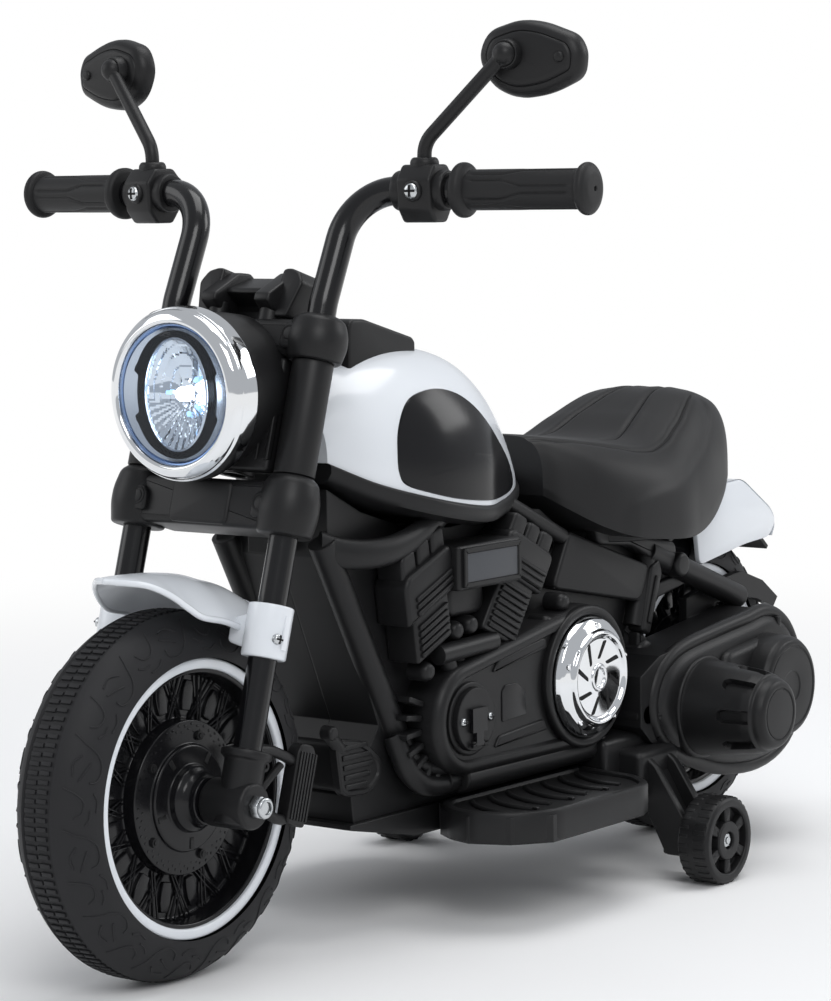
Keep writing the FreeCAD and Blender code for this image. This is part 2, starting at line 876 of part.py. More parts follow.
shell = front_slab(mirror_points(1), back_y, face_y)
socket_boss = ball(boss_radius, ORIGIN)
in_front = box((-boss_radius, -boss_radius, -boss_radius), (boss_radius, boss_radius / 2, boss_radius))
glass_seat = front_slab(mirror_points(0.9), glass_y, face_y)
mirror_head = toed(cut(fuse(shell, cut(socket_boss, in_front)), ball(socket_radius, ORIGIN), glass_seat))
mirror_glass = toed(front_slab(mirror_points(0.89), glass_y, face_y))
keep(mirror_head, "mirror_head_left")
keep(mirrored(mirror_head), "mirror_head_right")
keep(mirror_glass, "mirror_glass_left")
keep(mirrored(mirror_glass), "mirror_glass_right")

# Front fender: a white visor with a narrow nose, held by a sleeve on each fork leg
FENDER = [(-57, 131, 6, 128), (-48, 135, 19, 124), (-28, 137.5, 30, 121), (0, 138, 37, 114),
          (28, 133, 38, 102), (48, 126, 38, 96), (72, 114, 35, 90)]


def visor_wire(y, top, half_width, edge, wall):
    """A thin arched strip across the bike, as a closed section."""
    shares = [i / 5 for i in range(-5, 6)]
    outer = [FreeCAD.Vector(half_width * t, y, top - (top - edge) * abs(t) ** 2.2) for t in shares]
    narrower = (half_width - wall / 3) / half_width
    inner = [FreeCAD.Vector(v.x * narrower, y, v.z - wall) for v in reversed(outer)]
    curves = []
    for points in (outer, inner):
        curve = Part.BSplineCurve()
        curve.interpolate(points)
        curves.append(curve.toShape())
    sides = [Part.LineSegment(outer[-1], inner[0]).toShape(), Part.LineSegment(inner[-1], outer[0]).toShape()]
    return Part.Wire([curves[0], sides[0], curves[1], sides[1]])


visor = [visor_wire(front_y.value + y, hub_z.value + top, half, hub_z.value + edge, d.fender_wall.value)
         for y, top, half, edge in FENDER]
arc_guard = feature(Part.makeLoft(visor, True, False), "visor")
sleeves = both_legs(d.sleeve_radius, d.sleeve_foot, d.sleeve_height)
sleeve_top = d.sleeve_foot + d.sleeve_height
bridges = []
for side in (-1, 1):
    near = side * (d.fender_half_width - d.fender_wall)
    far = side * (d.leg_spread - d.leg_radius)
    low, high = (near, far) if side > 0 else (far, near)
    bridges.append(box((low, leg_y - 6, sleeve_top - 16), (high, leg_y + 6, sleeve_top + 2)))
sleeve_holes = both_legs(leg_hole, d.sleeve_foot, d.sleeve_height + 2)
mount = raked(cut(fuse(*sleeves, *bridges), *sleeve_holes))
keep(fuse(arc_guard, mount), "front_fender")
fender_screws = []
for screw_x in (-d.leg_spread, d.leg_spread):
    screw_start = (screw_x, leg_y + d.sleeve_radius - 1, sleeve_top - 16)
    fender_screws.append(rod(d.bolt_radius - 1, screw_start, 3, "y"))
sleeve_forms = both_legs(d.sleeve_radius + 0.02, d.sleeve_foot, d.sleeve_height)
sleeve_screws = raked(cut(group(*fender_screws), *sleeve_forms))
keep(group(front_nut, mirrored(front_nut), clamp_bolts, clamp_screw, mirrored(clamp_screw), sleeve_screws),
     "fork_fasteners")

# Head tube: the frame's steering bearing, with a gusset to the body shells
tube = rod(d.head_tube_radius, (0, 0, lower_top + 1), d.upper_clamp_foot - lower_top - 2, "z")
tube_bore = d.stem_radius + d.running_clearance
tube_hole = rod(tube_bore, (0, 0, d.lower_clamp_foot), upper_top - d.lower_clamp_foot, "z")
GUSSET = [(100, 140), (100, 191), (80, 200), (96, 254), (116, 254), (116, 140)]
gusset = side_slab([(fore(y), up(z)) for y, z in GUSSET], -d.head_gusset_half, d.head_gusset_half)
keep(cut(fuse(raked(tube), gusset), raked(tube_hole)), "head_tube")

# Floor pan: the low chassis with a footboard on each side and a battery tray
deck_top = up(-d.deck_drop)
deck_foot = deck_top - d.deck_thickness
pan_rear = aft(-124)
FOOTBOARD = [(0.12, 212), (0.3, 202), (0.5, 197), (0.8, 208), (1, 231), (1, 338), (0.93, 353), (0.72, 368),
             (0.33, 372), (0, 380)]
span = d.footboard_half_width - d.deck_half_width
right_edge = [(d.deck_half_width, fore(130)), (d.deck_half_width, fore(226))]
right_edge += [(d.deck_half_width + span * share, fore(y)) for share, y in FOOTBOARD]
rear_half = d.body_half_width - d.seat_gap
right_edge += [(d.deck_half_width, aft(-138)), (rear_half, aft(-134)), (rear_half, pan_rear)]
pan_outline = right_edge + [(-x, y) for x, y in reversed(right_edge)]
pan = plan_slab(pan_outline, deck_foot, deck_top)
tray_half = d.body_half_width - d.wall
tray_low = (-tray_half, fore(176), deck_foot + d.footboard_wall)
tray_high = (tray_half, pan_rear - d.footboard_wall * 2, deck_top + 1)
chin = side_slab([(fore(120), deck_foot - 1), (fore(205), deck_foot - 1), (fore(120), deck_top - 1)],
                 -d.footboard_half_width / 2, d.footboard_half_width / 2)
pockets = [box(tray_low, tray_high), chin]
for side in (-1, 1):
    near = side * (d.deck_half_width + 8)
    far = side * (d.footboard_half_width - d.footboard_wall)
    low, high = (near, far) if side > 0 else (far, near)
    pockets.append(box((low, fore(238), deck_foot), (high, fore(334), deck_top - d.footboard_wall)))
pedal_low = d.pedal_centre - d.pedal_width / 2
pedal_high = d.pedal_centre + d.pedal_width / 2
pedal_z = deck_top + d.pedal_height
ears = []
for ear_x in (-pedal_high - d.pedal_ear - 1, -pedal_low + 1):
    ears.append(box((ear_x, fore(d.pedal_aft - d.pedal_ear), deck_top - 1),
                    (ear_x + d.pedal_ear, fore(d.pedal_aft + d.pedal_ear), pedal_z + d.pedal_ear)))
pin_hole = rod(d.pedal_pin_radius + d.running_clearance, (-pedal_high - 20, fore(d.pedal_aft), pedal_z),
               d.pedal_width + 40)
keep(cut(fuse(pan, *ears), pin_hole, *pockets), "floor_pan")

# Accelerator pedal: a sprung plate on a pin between two ears of the right footboard
plate_foot = d.pedal_depth / -2
pedal_plate = box((-pedal_high, d.pedal_ear - d.pedal_length, plate_foot),
                  (-pedal_low, d.pedal_ear, plate_foot + d.pedal_depth))
pin_length = d.pedal_width + d.pedal_ear * 2 + 2
pedal_pin = rod(d.pedal_pin_radius, (-pedal_high - d.pedal_ear - 1, 0, 0), pin_length)
pedal_pivot = (0, fore(d.pedal_aft), pedal_z)
keep(place(fuse(pedal_plate, pedal_pin), pedal_pivot, -X_AXIS, d.pedal_tilt), "accelerator_pedal")


# Body shells: left and right black mouldings with the down tubes, side box, exhaust and rear stays
BODY_FRONT = [(136, -19), (166, 23), (116, 137), (116, 181), (150, 164), (195, 150), (245, 145), (300, 147.7),
              (350, 147.7)]
BODY_REAR = [(-174, 118.5), (-67, 118.5), (-92, 85), (-117, 50), (-129, 0)]
BODY_FEET = (138, -125)
HOLLOW_FRONT = [(143, -21), (173, 21), (124, 134), (124, 170), (240, 142), (344, 142)]
HOLLOW_REAR = [(-178, 113), (-104, 113), (-121, 50), (-134, 0)]
HOLLOW_FEET = (143, -130)
exhaust_x = d.body_half_width + d.exhaust_out
exhaust_z = up(-d.exhaust_drop)
exhaust_length = d.exhaust_end - d.exhaust_start


def side_outline(front, rear, feet):
    """An outline that stands on the deck, with its halves placed from the front and rear axles."""
    points = [(fore(feet[0]), deck_top)] + [(fore(y), up(z)) for y, z in front]
    return points + [(aft(y), up(z)) for y, z in rear] + [(aft(feet[1]), deck_top)]


def down_tube_ends():
    return (d.body_half_width, fore(190), up(3)), (d.body_half_width, fore(110), up(148))


def elbow_ends():
    return (d.body_half_width + 2, fore(190), up(6)), (exhaust_x, fore(d.exhaust_start + 3), exhaust_z)


def exhaust_rod(radius, margin):
    start = (exhaust_x, fore(d.exhaust_start - margin), exhaust_z)
    return rod(radius, start, exhaust_length + margin * 2, "y")


def exhaust_rest(margin, head_room):
    """The ledge that carries the exhaust, or the room for it in the engine cover."""
    low = (d.body_half_width - 2 + margin, fore(d.exhaust_rest_start - margin), exhaust_z - 8)
    high = (exhaust_x, fore(d.exhaust_rest_end + margin), exhaust_z + 2 + head_room)
    return box(low, high)


def side_box_corners(margin):
    """The side box under the seat, or the room for it in the engine cover."""
    front = [(fore(350) - margin, up(93) - margin), (fore(371) - margin, up(130) + margin)]
    return front + [(aft(-102), up(96)), (aft(-115), up(73) - margin)]


def body_shell():
    skin = side_slab(side_outline(BODY_FRONT, BODY_REAR, BODY_FEET), 0, d.body_half_width)
    hollow = side_outline(HOLLOW_FRONT, HOLLOW_REAR, HOLLOW_FEET)
    space = side_slab(hollow, 0, d.body_half_width - d.wall)
    arch = rod(d.arch_radius + d.seat_gap, (-1, rear_y, hub_z), d.body_half_width + 2)
    down_tube = leaning_rod(d.down_tube_radius, *down_tube_ends())
    side_box = side_slab(side_box_corners(0), d.body_half_width - 2, d.body_half_width + 12)
    stay_x = d.body_half_width + 7
    stay = leaning_rod(d.down_tube_radius, (stay_x, aft(26), up(60)), (stay_x, aft(-100), up(107)))
    strut_x = d.body_half_width + 6
    rear_strut = leaning_rod(8, (strut_x, aft(-114), up(54)), (strut_x, aft(-98), up(103)))
    exhaust = exhaust_rod(d.exhaust_radius, size(0))
    elbow = leaning_rod(d.exhaust_radius, *elbow_ends())
    outside = (down_tube, side_box, stay, rear_strut, exhaust, elbow, exhaust_rest(size(0), size(0)))
    return cut(fuse(skin, *outside), space, arch)


left_shell = body_shell()
keep(left_shell, "body_shell_left")
keep(mirrored(left_shell), "body_shell_right")


# Engine covers: a finned V-twin, the long primary cover and a blank plate box
cover_inner = d.body_half_width
cover_outer = cover_inner + d.engine_depth


def cylinder(crank, lean_axis, lean):
    """A cylinder leaning from its crank point: its block, its room and the slots between its fins."""
    half = d.cylinder_width / 2
    head_half = d.cylinder_head_width / 2
    top = d.cylinder_foot + d.cylinder_height
    head_top = top + d.cylinder_head_height
    barrel = box((cover_inner, -half, d.cylinder_foot), (cover_outer, half, top))
    head = box((cover_inner, -head_half, top - 1), (cover_outer + 2, head_half, head_top))
    thick = d.fin_depth + d.wall
    barrel_room = box((cover_inner - 1, thick - half, d.cylinder_foot),
                      (cover_outer - thick, half - thick, top))
    head_room = box((cover_inner - 1, d.wall - head_half, top),
                    (cover_outer - d.wall, head_half - d.wall, head_top - d.wall))
    fins = []
    for i in range(1, int(d.cylinder_height.value / d.fin_pitch.value)):
        level = d.cylinder_foot + d.fin_pitch * i
        fins.append(box((cover_outer - d.fin_depth, -half - 1, level),
                        (cover_outer + 1, half + 1, level + d.fin_slot)))
    forms = (fuse(barrel, head), fuse(barrel_room, head_room), fuse(*fins))
    return [place(form, crank, lean_axis, lean) for form in forms]


def primary_forms(margin, depth):
    """The long cover over two rounds, or the room inside it."""
    front = (cover_inner, fore(d.primary_front_aft), up(d.primary_front_up))
    rear = (cover_inner, fore(d.primary_rear_aft), up(d.primary_rear_up))
    front_radius = d.primary_front_radius - margin
    rear_radius = d.primary_rear_radius - margin
    web = [(front[1], front[2] - front_radius), (rear[1], rear[2] - rear_radius),
           (rear[1], rear[2] + rear_radius), (front[1], front[2] + front_radius)]
    sides = side_slab(web, cover_inner, cover_inner + depth)
    return [rod(front_radius, front, depth), rod(rear_radius, rear, depth), sides]


def engine_cover():
    front_crank = (0, fore(d.front_crank_aft), up(d.front_crank_up))
    rear_crank = (0, fore(d.rear_crank_aft), up(d.rear_crank_up))
    front_block, front_room, front_slots = cylinder(front_crank, X_AXIS, d.front_cylinder_lean)
    rear_block, rear_room, rear_slots = cylinder(rear_crank, -X_AXIS, d.rear_cylinder_lean)
    plate_low = (cover_inner, fore(d.plate_aft) - d.plate_width / 2, up(d.plate_up) - d.plate_height / 2)
    plate_high = (cover_outer + d.plate_depth, fore(d.plate_aft) + d.plate_width / 2,
                  up(d.plate_up) + d.plate_height / 2)
    primary = primary_forms(0, d.primary_depth)
    solid = fuse(front_block, rear_block, *primary, box(plate_low, plate_high))
    rooms = [front_room, rear_room, *primary_forms(d.wall, d.primary_depth - d.wall)]
    rooms.append(exhaust_rod(d.exhaust_radius + d.seat_gap, size(1)))
    rooms.append(exhaust_rest(size(1), d.seat_gap))
    rooms.append(leaning_rod(d.exhaust_radius + d.seat_gap, *elbow_ends()))
    rooms.append(leaning_rod(d.down_tube_radius + d.seat_gap, *down_tube_ends()))
    rooms.append(side_slab(side_box_corners(1), cover_inner - 1, cover_outer + 20))
    return cut(solid, *rooms, front_slots, rear_slots)


left_engine = engine_cover()
primary_face = d.body_half_width + d.primary_depth
port_centre = (primary_face, fore(d.primary_front_aft), up(d.primary_front_up))


def port_rod(radius, x, length):
    """A cylinder on the charging port's axis."""
    return rod(radius, (x, port_centre[1], port_centre[2]), length)


port_seat = port_rod(d.port_radius + d.seat_gap, primary_face - 2, 4)
socket_room = port_rod(d.socket_radius + d.wall, primary_face - d.socket_depth - 2, d.socket_depth + 4)
keep(cut(left_engine, port_seat, socket_room), "engine_cover_left")
keep(mirrored(left_engine), "engine_cover_right")

# Chrome round covers on both sides
chrome_lip = d.chrome_radius + 6
chrome = [
    (chrome_lip - 3, 0),
    (chrome_lip, 0),
    (chrome_lip, 4),
    (d.chrome_radius, d.chrome_depth),
    (d.chrome_radius * 0.65, d.chrome_depth),
    (d.chrome_radius * 0.6, d.chrome_depth - 3),
    (0, d.chrome_depth - 3),
    (0, d.chrome_depth - 6),
    (d.chrome_radius - 4, d.chrome_depth - 6),
]
left_chrome = turned(chrome, (primary_face, fore(d.primary_rear_aft), up(d.primary_rear_up)))
keep(group(left_chrome, mirrored(left_chrome)), "chrome_covers")

# Charging port: a round plate with a socket, two screws and a hinged flap
port_x = primary_face - 2
port_face = port_x + d.port_depth
plate = port_rod(d.port_radius, port_x, d.port_depth)
socket_tube = port_rod(d.socket_radius + d.wall - d.seat_gap, port_face - d.socket_depth, d.socket_depth)
socket_hole = port_rod(d.socket_radius, port_face - d.socket_depth + d.wall, d.socket_depth)
hinge_z = port_centre[2] - d.flap_height + d.flap_width / 2
hinge_x = port_face + d.flap_depth / 2
lugs = []
for lug_y in (port_centre[1] - d.flap_width / 2, port_centre[1] + d.flap_width / 2 - 3):
    lugs.append(box((port_face - 1, lug_y, hinge_z - 2), (port_face + d.flap_depth, lug_y + 3, hinge_z + 2)))
pin_bore = d.flap_pin_radius + d.running_clearance
flap_pin_hole = rod(pin_bore, (hinge_x, port_centre[1] - d.flap_width, hinge_z), d.flap_width * 2, "y")
keep(cut(fuse(plate, socket_tube, *lugs), socket_hole, flap_pin_hole), "charge_port")
flap_low = hinge_z + 3
head_low = port_centre[2] - d.flap_width / 2
flap_gap = port_face + d.seat_gap
flap_face = port_face + d.flap_depth
strap_half = d.flap_width / 2 - 4
head_half = d.flap_width / 2
flap_head = box((flap_gap, port_centre[1] - head_half, head_low),
                (flap_face, port_centre[1] + head_half, head_low + d.flap_width))
strap = box((flap_gap, port_centre[1] - strap_half, hinge_z - 1),
            (flap_face, port_centre[1] + strap_half, head_low + 1))
flap_pin = rod(d.flap_pin_radius, (hinge_x, port_centre[1] - d.flap_width / 2, hinge_z), d.flap_width, "y")
keep(fuse(flap_head, strap, flap_pin), "charge_flap")
port_screws = []
for screw_y in (port_centre[1] - d.port_radius * 0.7, port_centre[1] + d.port_radius * 0.7):
    port_screws.append(rod(2.8, (port_face, screw_y, port_centre[2]), 1.5))


# Tank: a hollow white shell over a black tray
TANK = [(120, 38, 197, 235), (150, 57, 182, 256), (195, 73, 169, 266), (243, 73, 161, 264),
        (279, 60, 161, 250), (309, 46, 161, 224), (335, 31, 161, 191), (354, 16, 161, 168)]


def arch_wire(y, half_width, foot, top, roundness=0.8):
    """A flat-bottomed arch across the bike: a straight foot and a full round crown."""
    crown_points = []
    steps = 10
    for i in range(steps + 1):
        angle = math.pi * i / steps
        side = math.copysign(abs(math.cos(angle)) ** roundness, math.cos(angle))
        x = half_width * (side if 0 < i < steps else round(side))
        z = foot + (top - foot) * abs(math.sin(angle)) ** roundness if 0 < i < steps else foot
        crown_points.append(FreeCAD.Vector(x, y, z))
    curve = Part.BSplineCurve()
    curve.interpolate(crown_points)
    return Part.Wire([curve.toShape(), Part.LineSegment(crown_points[-1], crown_points[0]).toShape()])


def tray_wire(y, half_width, foot, top):
    """A shallow tray section with drawn-in lower edges."""
    bevel = min(half_width * 0.3, (top - foot) * 0.7)
    corners = [(-half_width + bevel, foot), (half_width - bevel, foot), (half_width, foot + bevel),
               (half_width, top), (-half_width, top), (-half_width, foot + bevel)]
    points = [FreeCAD.Vector(x, y, z) for x, z in corners]
    return Part.makePolygon(points + points[:1])


def loft(wires):
    return Part.makeLoft(wires, True, False)


tank_y = front_y.value
axle_z = hub_z.value
skin = d.tank_wall.value
rim = d.tray_overhang.value
thick = d.tray_thickness.value
gap = d.seat_gap.value
last = len(TANK) - 1
outer = []
room = []
tray = []
tray_room = []
for i, (back, half, foot_up, top_up) in enumerate(TANK):
    y = tank_y + back
    foot = axle_z + foot_up
    top = axle_z + top_up
    inward = skin if i == 0 else -skin if i == last else 0
    outer.append(arch_wire(y, half, foot, top))
    room.append(arch_wire(y + inward, half - skin, foot - 1, top - skin))
    tray.append(tray_wire(y, half + rim, foot - thick, foot - gap))
    tray_room.append(tray_wire(y + inward, half + rim - skin, foot - thick + skin, foot + 1))
tank_block = feature(loft(outer), "tank_block")
tank_room = feature(loft(room), "tank_room")
keep(cut(feature(loft(tray), "tray"), feature(loft(tray_room), "tray_room")), "tank_tray")

# Console on the tank with a start button and a direction rocker
console_y = fore(d.console_front)
console_z = up(d.console_top)
console_end = console_y + d.console_length
console_low = up(d.console_foot)
crest_z = console_z + d.console_crest
console_side = [
    (console_y, console_low),
    (console_y, crest_z - 4),
    (console_y + 5, crest_z),
    (console_y + 16, crest_z),
    (console_y + 30, console_z),
    (console_end, console_z),
    (console_end, console_low),
]
console_block = side_slab(console_side, -d.console_half_width, d.console_half_width)
button_y = console_end - d.console_length * 0.17
rocker_y = console_end - d.console_length * 0.45
button_floor = console_z - d.button_travel - d.seat_gap
button_room = rod(d.button_radius + d.seat_gap, (0, button_y, button_floor), 20, "z")
stem_room = rod(d.button_stem_radius + d.running_clearance, (0, button_y, up(d.console_foot)), 60, "z")
rocker_half = d.rocker_length / 2
rocker_side = d.rocker_width / 2
rocker_deep = console_z - d.rocker_height
rocker_room = box((-rocker_side - d.seat_gap, rocker_y - rocker_half - 2, rocker_deep - 4),
                  (rocker_side + d.seat_gap, rocker_y + rocker_half + 2, console_z + 10))
rocker_pin_z = console_z - d.rocker_height / 2
rocker_pin_hole = rod(d.rocker_pin_radius + d.running_clearance, (-rocker_side - 4, rocker_y, rocker_pin_z),
                      d.rocker_width + 8)
rocker_rooms = (rocker_room, rocker_pin_hole)
keep(cut(console_block, tank_block, button_room, stem_room, *rocker_rooms), "console")
keep(cut(tank_block, tank_room, button_room, stem_room, *rocker_rooms), "tank_shell")
button = [
    (0, -8),
    (d.button_stem_radius, -8),
    (d.button_stem_radius, 0),
    (d.button_radius, 0),
    (d.button_radius, d.button_height - 1),
    (d.button_radius - 1, d.button_height),
    (0, d.button_height),
]
keep(turned(button, (0, button_y, console_z), "z"), "start_button")
rocker_face = [
    (rocker_y - rocker_half, console_z + 3),
    (rocker_y - rocker_half, rocker_pin_z),
    (rocker_y, rocker_deep),
    (rocker_y + rocker_half, rocker_pin_z),
    (rocker_y + rocker_half, console_z + 3),
    (rocker_y, console_z + 1),
]
rocker = side_slab(rocker_face, -rocker_side, rocker_side)
rocker_pin = rod(d.rocker_pin_radius, (-rocker_side - 3, rocker_y, rocker_pin_z), d.rocker_width + 6)
keep(fuse(rocker, rocker_pin), "direction_switch")

# Seat: a crowned black saddle with a raised rear, on a flat base
SEAT = [(-214, 38, 158, 197), (-205, 52, 149, 197), (-186, 69, 137, 195), (-157, 80, 129, 192),
        (-112, 85, 128, 189), (-76, 78, 128, 204), (-40, 68, 138, 218), (-8, 57, 150, 217),
        (14, 44, 151, 206), (31, 26, 152, 184)]
SEAT_ROUND = 0.55
seat_y = rear_y.value
crowns = [arch_wire(seat_y + y, half, axle_z + foot, axle_z + top, SEAT_ROUND) for y, half, foot, top in SEAT]
hollow_wall = d.seat_wall.value
under = [arch_wire(seat_y + y, half - hollow_wall, axle_z + foot - 1, axle_z + top - hollow_wall, SEAT_ROUND)
         for y, half, foot, top in SEAT[3:7]]
seat_foot = up(128)
below_seat = box((-d.footboard_half_width, aft(-200), seat_foot - 40),
                 (d.footboard_half_width, aft(-30), seat_foot))


def seat_channel(x):
    """A narrow cutter that sinks a seam line into the crown at one distance from the middle."""
    line = []
    for y, half, foot, top in SEAT[4:9]:
        share = math.acos((abs(x) / half) ** (1 / SEAT_ROUND))
        crown = foot + (top - foot) * math.sin(share) ** SEAT_ROUND
        floor_z = axle_z + crown - d.channel_depth.value
        line.append(FreeCAD.Vector(x - d.channel_width.value / 2, seat_y + y, floor_z))
    over = axle_z + max(top for y, half, foot, top in SEAT) + 10
    ends = [FreeCAD.Vector(line[-1].x, line[-1].y, over), FreeCAD.Vector(line[0].x, line[0].y, over)]
    face = Part.Face(Part.makePolygon(line + ends + line[:1]))
    return feature(face.extrude(FreeCAD.Vector(d.channel_width.value, 0, 0)), "channel")


channels = [seat_channel(x) for x in (-36, -13, 13, 36)]
seat_block = feature(loft(crowns), "seat_block")
seat_room = feature(loft(under), "seat_room")
keep(cut(seat_block, seat_room, below_seat, *channels), "seat_pad")
seat_floor = seat_foot - d.seat_gap
base_plan = [(40, aft(-168)), (66, aft(-148)), (76, aft(-112)), (64, aft(-72)), (52, aft(-48))]
base_outline = base_plan + [(-x, y) for x, y in reversed(base_plan)]
keep(plan_slab(base_outline, seat_floor - d.seat_base_thickness, seat_floor), "seat_base")

# Tail: a white cowl over a black inner fender
COWL = [(-20, 87), (-27, 132), (0, 145), (38, 147), (44, 145), (83, 121), (90, 111), (80, 99), (46, 97)]
COWL_ROOM = [(-40, 70), (-40, 126), (0, 142), (37, 144), (43, 142), (81, 118), (86, 110), (78, 70)]
cowl = side_slab([(aft(y), up(z)) for y, z in COWL], -d.tail_half_width, d.tail_half_width)
room_half = d.arch_half_width + d.seat_gap
cowl_room = side_slab([(aft(y), up(z)) for y, z in COWL_ROOM], -room_half, room_half)
keep(cut(cowl, cowl_room), "rear_fender")


def sector_turn(start):
    """The rotation that starts a sweep about X at an angle above the rear."""
    return FreeCAD.Rotation(X_AXIS, start) * FreeCAD.Rotation(FreeCAD.Vector(1, 1, 1), 120)


ARCH_START = 48
ARCH_SWEEP = 94
arch_outer = doc.addObject("Part::Cylinder", "arch_outer")
bind(arch_outer, "Radius", d.arch_radius)
bind(arch_outer, "Height", d.arch_half_width * 2)
arch_outer.Angle = ARCH_SWEEP
arch_outer.Placement = FreeCAD.Placement(FreeCAD.Vector(), sector_turn(ARCH_START))
bind(arch_outer, "Placement.Base.x", -d.arch_half_width)
bind(arch_outer, "Placement.Base.y", rear_y)
bind(arch_outer, "Placement.Base.z", hub_z)
arch_inner = rod(d.arch_radius - d.wall, (-d.arch_half_width - 1, rear_y, hub_z), d.arch_half_width * 2 + 2)
keep(cut(arch_outer, arch_inner), "inner_fender")

# Gear train: motor pinion, compound idler and the drive gear on the rear wheel
gear_reach = (d.gear_teeth + d.idler_small_teeth) * d.gear_module / 2
pinion_reach = (d.idler_large_teeth + d.pinion_teeth) * d.idler_module / 2
train = gear_reach + pinion_reach
train_lean = math.asin(d.motor_drop.value / train.value)
train_y = -math.cos(train_lean)
train_z = -math.sin(train_lean)
idler_at = (rear_y + gear_reach * train_y, hub_z + gear_reach * train_z)
motor_at = (rear_y + train * train_y, hub_z + train * train_z)
PRESSURE_ANGLE = math.radians(25)


def tooth_half_angle(radius, pitch_radius, module, backlash):
    """Half the angle that a tooth fills at a radius, on an involute flank."""
    base = pitch_radius * math.cos(PRESSURE_ANGLE)
    flank = math.acos(min(1, base / max(radius, base)))
    involute = math.tan(flank) - flank
    pitch_involute = math.tan(PRESSURE_ANGLE) - PRESSURE_ANGLE
    thickness = math.pi * module / 2 - backlash
    return thickness / (2 * pitch_radius) + pitch_involute - involute


def gear(teeth, module, start, width, centre, facing, tooth_there):
    """A spur gear about X, with a tooth or a gap on the line of centres."""
    pitch_radius = teeth * module / 2
    root = pitch_radius - 1.1 * module
    tip = pitch_radius + 0.8 * module
    base = max(root, pitch_radius * math.cos(PRESSURE_ANGLE))
    flank = [base, (base + tip) / 2, tip]
    step = 2 * math.pi / teeth
    begin = facing if tooth_there else facing + step / 2
    points = []
    for i in range(teeth):
        middle = begin + step * i
        angles = [tooth_half_angle(r, pitch_radius, module, d.gear_backlash.value) for r in flank]
        left = [(r, middle - a) for r, a in zip(flank, angles)]
        right = [(r, middle + a) for r, a in reversed(list(zip(flank, angles)))]
        foot = [(root, middle - angles[0])]
        heel = [(root, middle + angles[0])]
        points += foot + left + right + heel
    y, z = centre[0].value, centre[1].value
    corners = [FreeCAD.Vector(start, y + r * math.cos(a), z + r * math.sin(a)) for r, a in points]
    face = Part.Face(Part.makePolygon(corners + corners[:1]))
    return feature(face.extrude(FreeCAD.Vector(width, 0, 0)), "gear")


facing_out = math.pi + train_lean
facing_back = train_lean
gearbox_x = d.body_half_width
gear_x = gearbox_x + d.gearbox_wall + 3
idler_x = gear_x + d.gear_width + 3
gear_width = d.gear_width.value
hub_at = (rear_y, hub_z)
coarse = d.gear_module.value
fine = d.idler_module.value
teeth = gear(int(d.gear_teeth.value), coarse, gear_x.value, gear_width, hub_at, facing_out, True)
boss_start = d.hub_half_length
boss = rod(d.gear_boss_radius, (boss_start, rear_y, hub_z), gear_x - boss_start + 1)
keep(cut(fuse(teeth, boss), rod(bore, (boss_start, rear_y, hub_z), d.gearbox_depth)), "drive_gear")
small_x = gear_x.value - 0.5
small = gear(int(d.idler_small_teeth.value), coarse, small_x, gear_width + 2, idler_at, facing_back, False)
large_x = idler_x.value - 1.5
large = gear(int(d.idler_large_teeth.value), fine, large_x, gear_width - 1, idler_at, facing_out, True)
idler_bore = rod(d.idler_pin_radius + d.running_clearance, (gear_x - 2, *idler_at), d.gearbox_depth)
keep(cut(fuse(small, large), idler_bore), "reduction_gear")
pinion_x = idler_x.value - 2
pinion_teeth = gear(int(d.pinion_teeth.value), fine, pinion_x, gear_width, motor_at, facing_back, False)
gearbox_face = gearbox_x + d.gearbox_depth
shaft_end = gearbox_face + 10
shaft = rod(d.motor_shaft_radius, (idler_x - 2, *motor_at), shaft_end - idler_x + 2)
keep(fuse(pinion_teeth, shaft), "motor_pinion")

# Gearbox: a housing open outwards, the motor, and a shaped cover that closes it and holds the axle
GEARBOX = [(-157, 25), (-157, -11), (-132, -34), (-52, -57), (0, -61), (38, -49), (60, -15), (60, 20),
           (38, 45), (10, 55), (-32, 49), (-132, 37)]
GEARBOX_ROOM = [(-126, 31), (-126, -32), (-50, -52), (0, -56), (35, -45), (55, -14), (55, 18), (36, 40),
                (10, 50), (-30, 44)]
WING = [(-30, 44), (-30, 64), (18, 73), (48, 76), (78, 66), (100, 51), (94, 44), (70, 53), (40, 58), (10, 56),
        (8, 44)]
WING_FOOT = [(-28, 45), (8, 45), (8, 53), (-28, 49)]
gearbox_points = [(aft(y), up(z)) for y, z in GEARBOX]
room_points = [(aft(y), up(z)) for y, z in GEARBOX_ROOM]
inner_face = gearbox_x + d.gearbox_wall
housing = side_slab(gearbox_points, gearbox_x, gearbox_face)
gear_room = side_slab(room_points, inner_face, gearbox_face)
idler_pin = rod(d.idler_pin_radius, (gearbox_x, *idler_at), d.gearbox_depth - 1)
boss_hole = rod(d.gear_boss_radius + 0.5, (0, rear_y, hub_z), gearbox_face)
wing_face = gearbox_x - d.wing_gap
wing = side_slab([(aft(y), up(z)) for y, z in WING], wing_face - d.wing_depth, wing_face)
wing_foot = side_slab([(aft(y), up(z)) for y, z in WING_FOOT], wing_face - 1, inner_face)
keep(fuse(cut(housing, gear_room, boss_hole), idler_pin, wing, wing_foot), "gearbox_housing")
motor_can = rod(d.motor_radius, (gearbox_face, *motor_at), d.motor_length)
motor_bore = rod(d.motor_shaft_radius + d.running_clearance, (gearbox_face, *motor_at), 12)
keep(cut(motor_can, motor_bore), "drive_motor")
cover_face = gearbox_face + d.cover_plate
cover_sheet = side_slab(gearbox_points, gearbox_face, cover_face)
drum = cone(d.drum_radius, d.drum_end_radius, (cover_face, *motor_at), d.drum_length)
cap = rod(d.drive_cap_radius, (cover_face, rear_y, hub_z), d.drive_cap_depth)
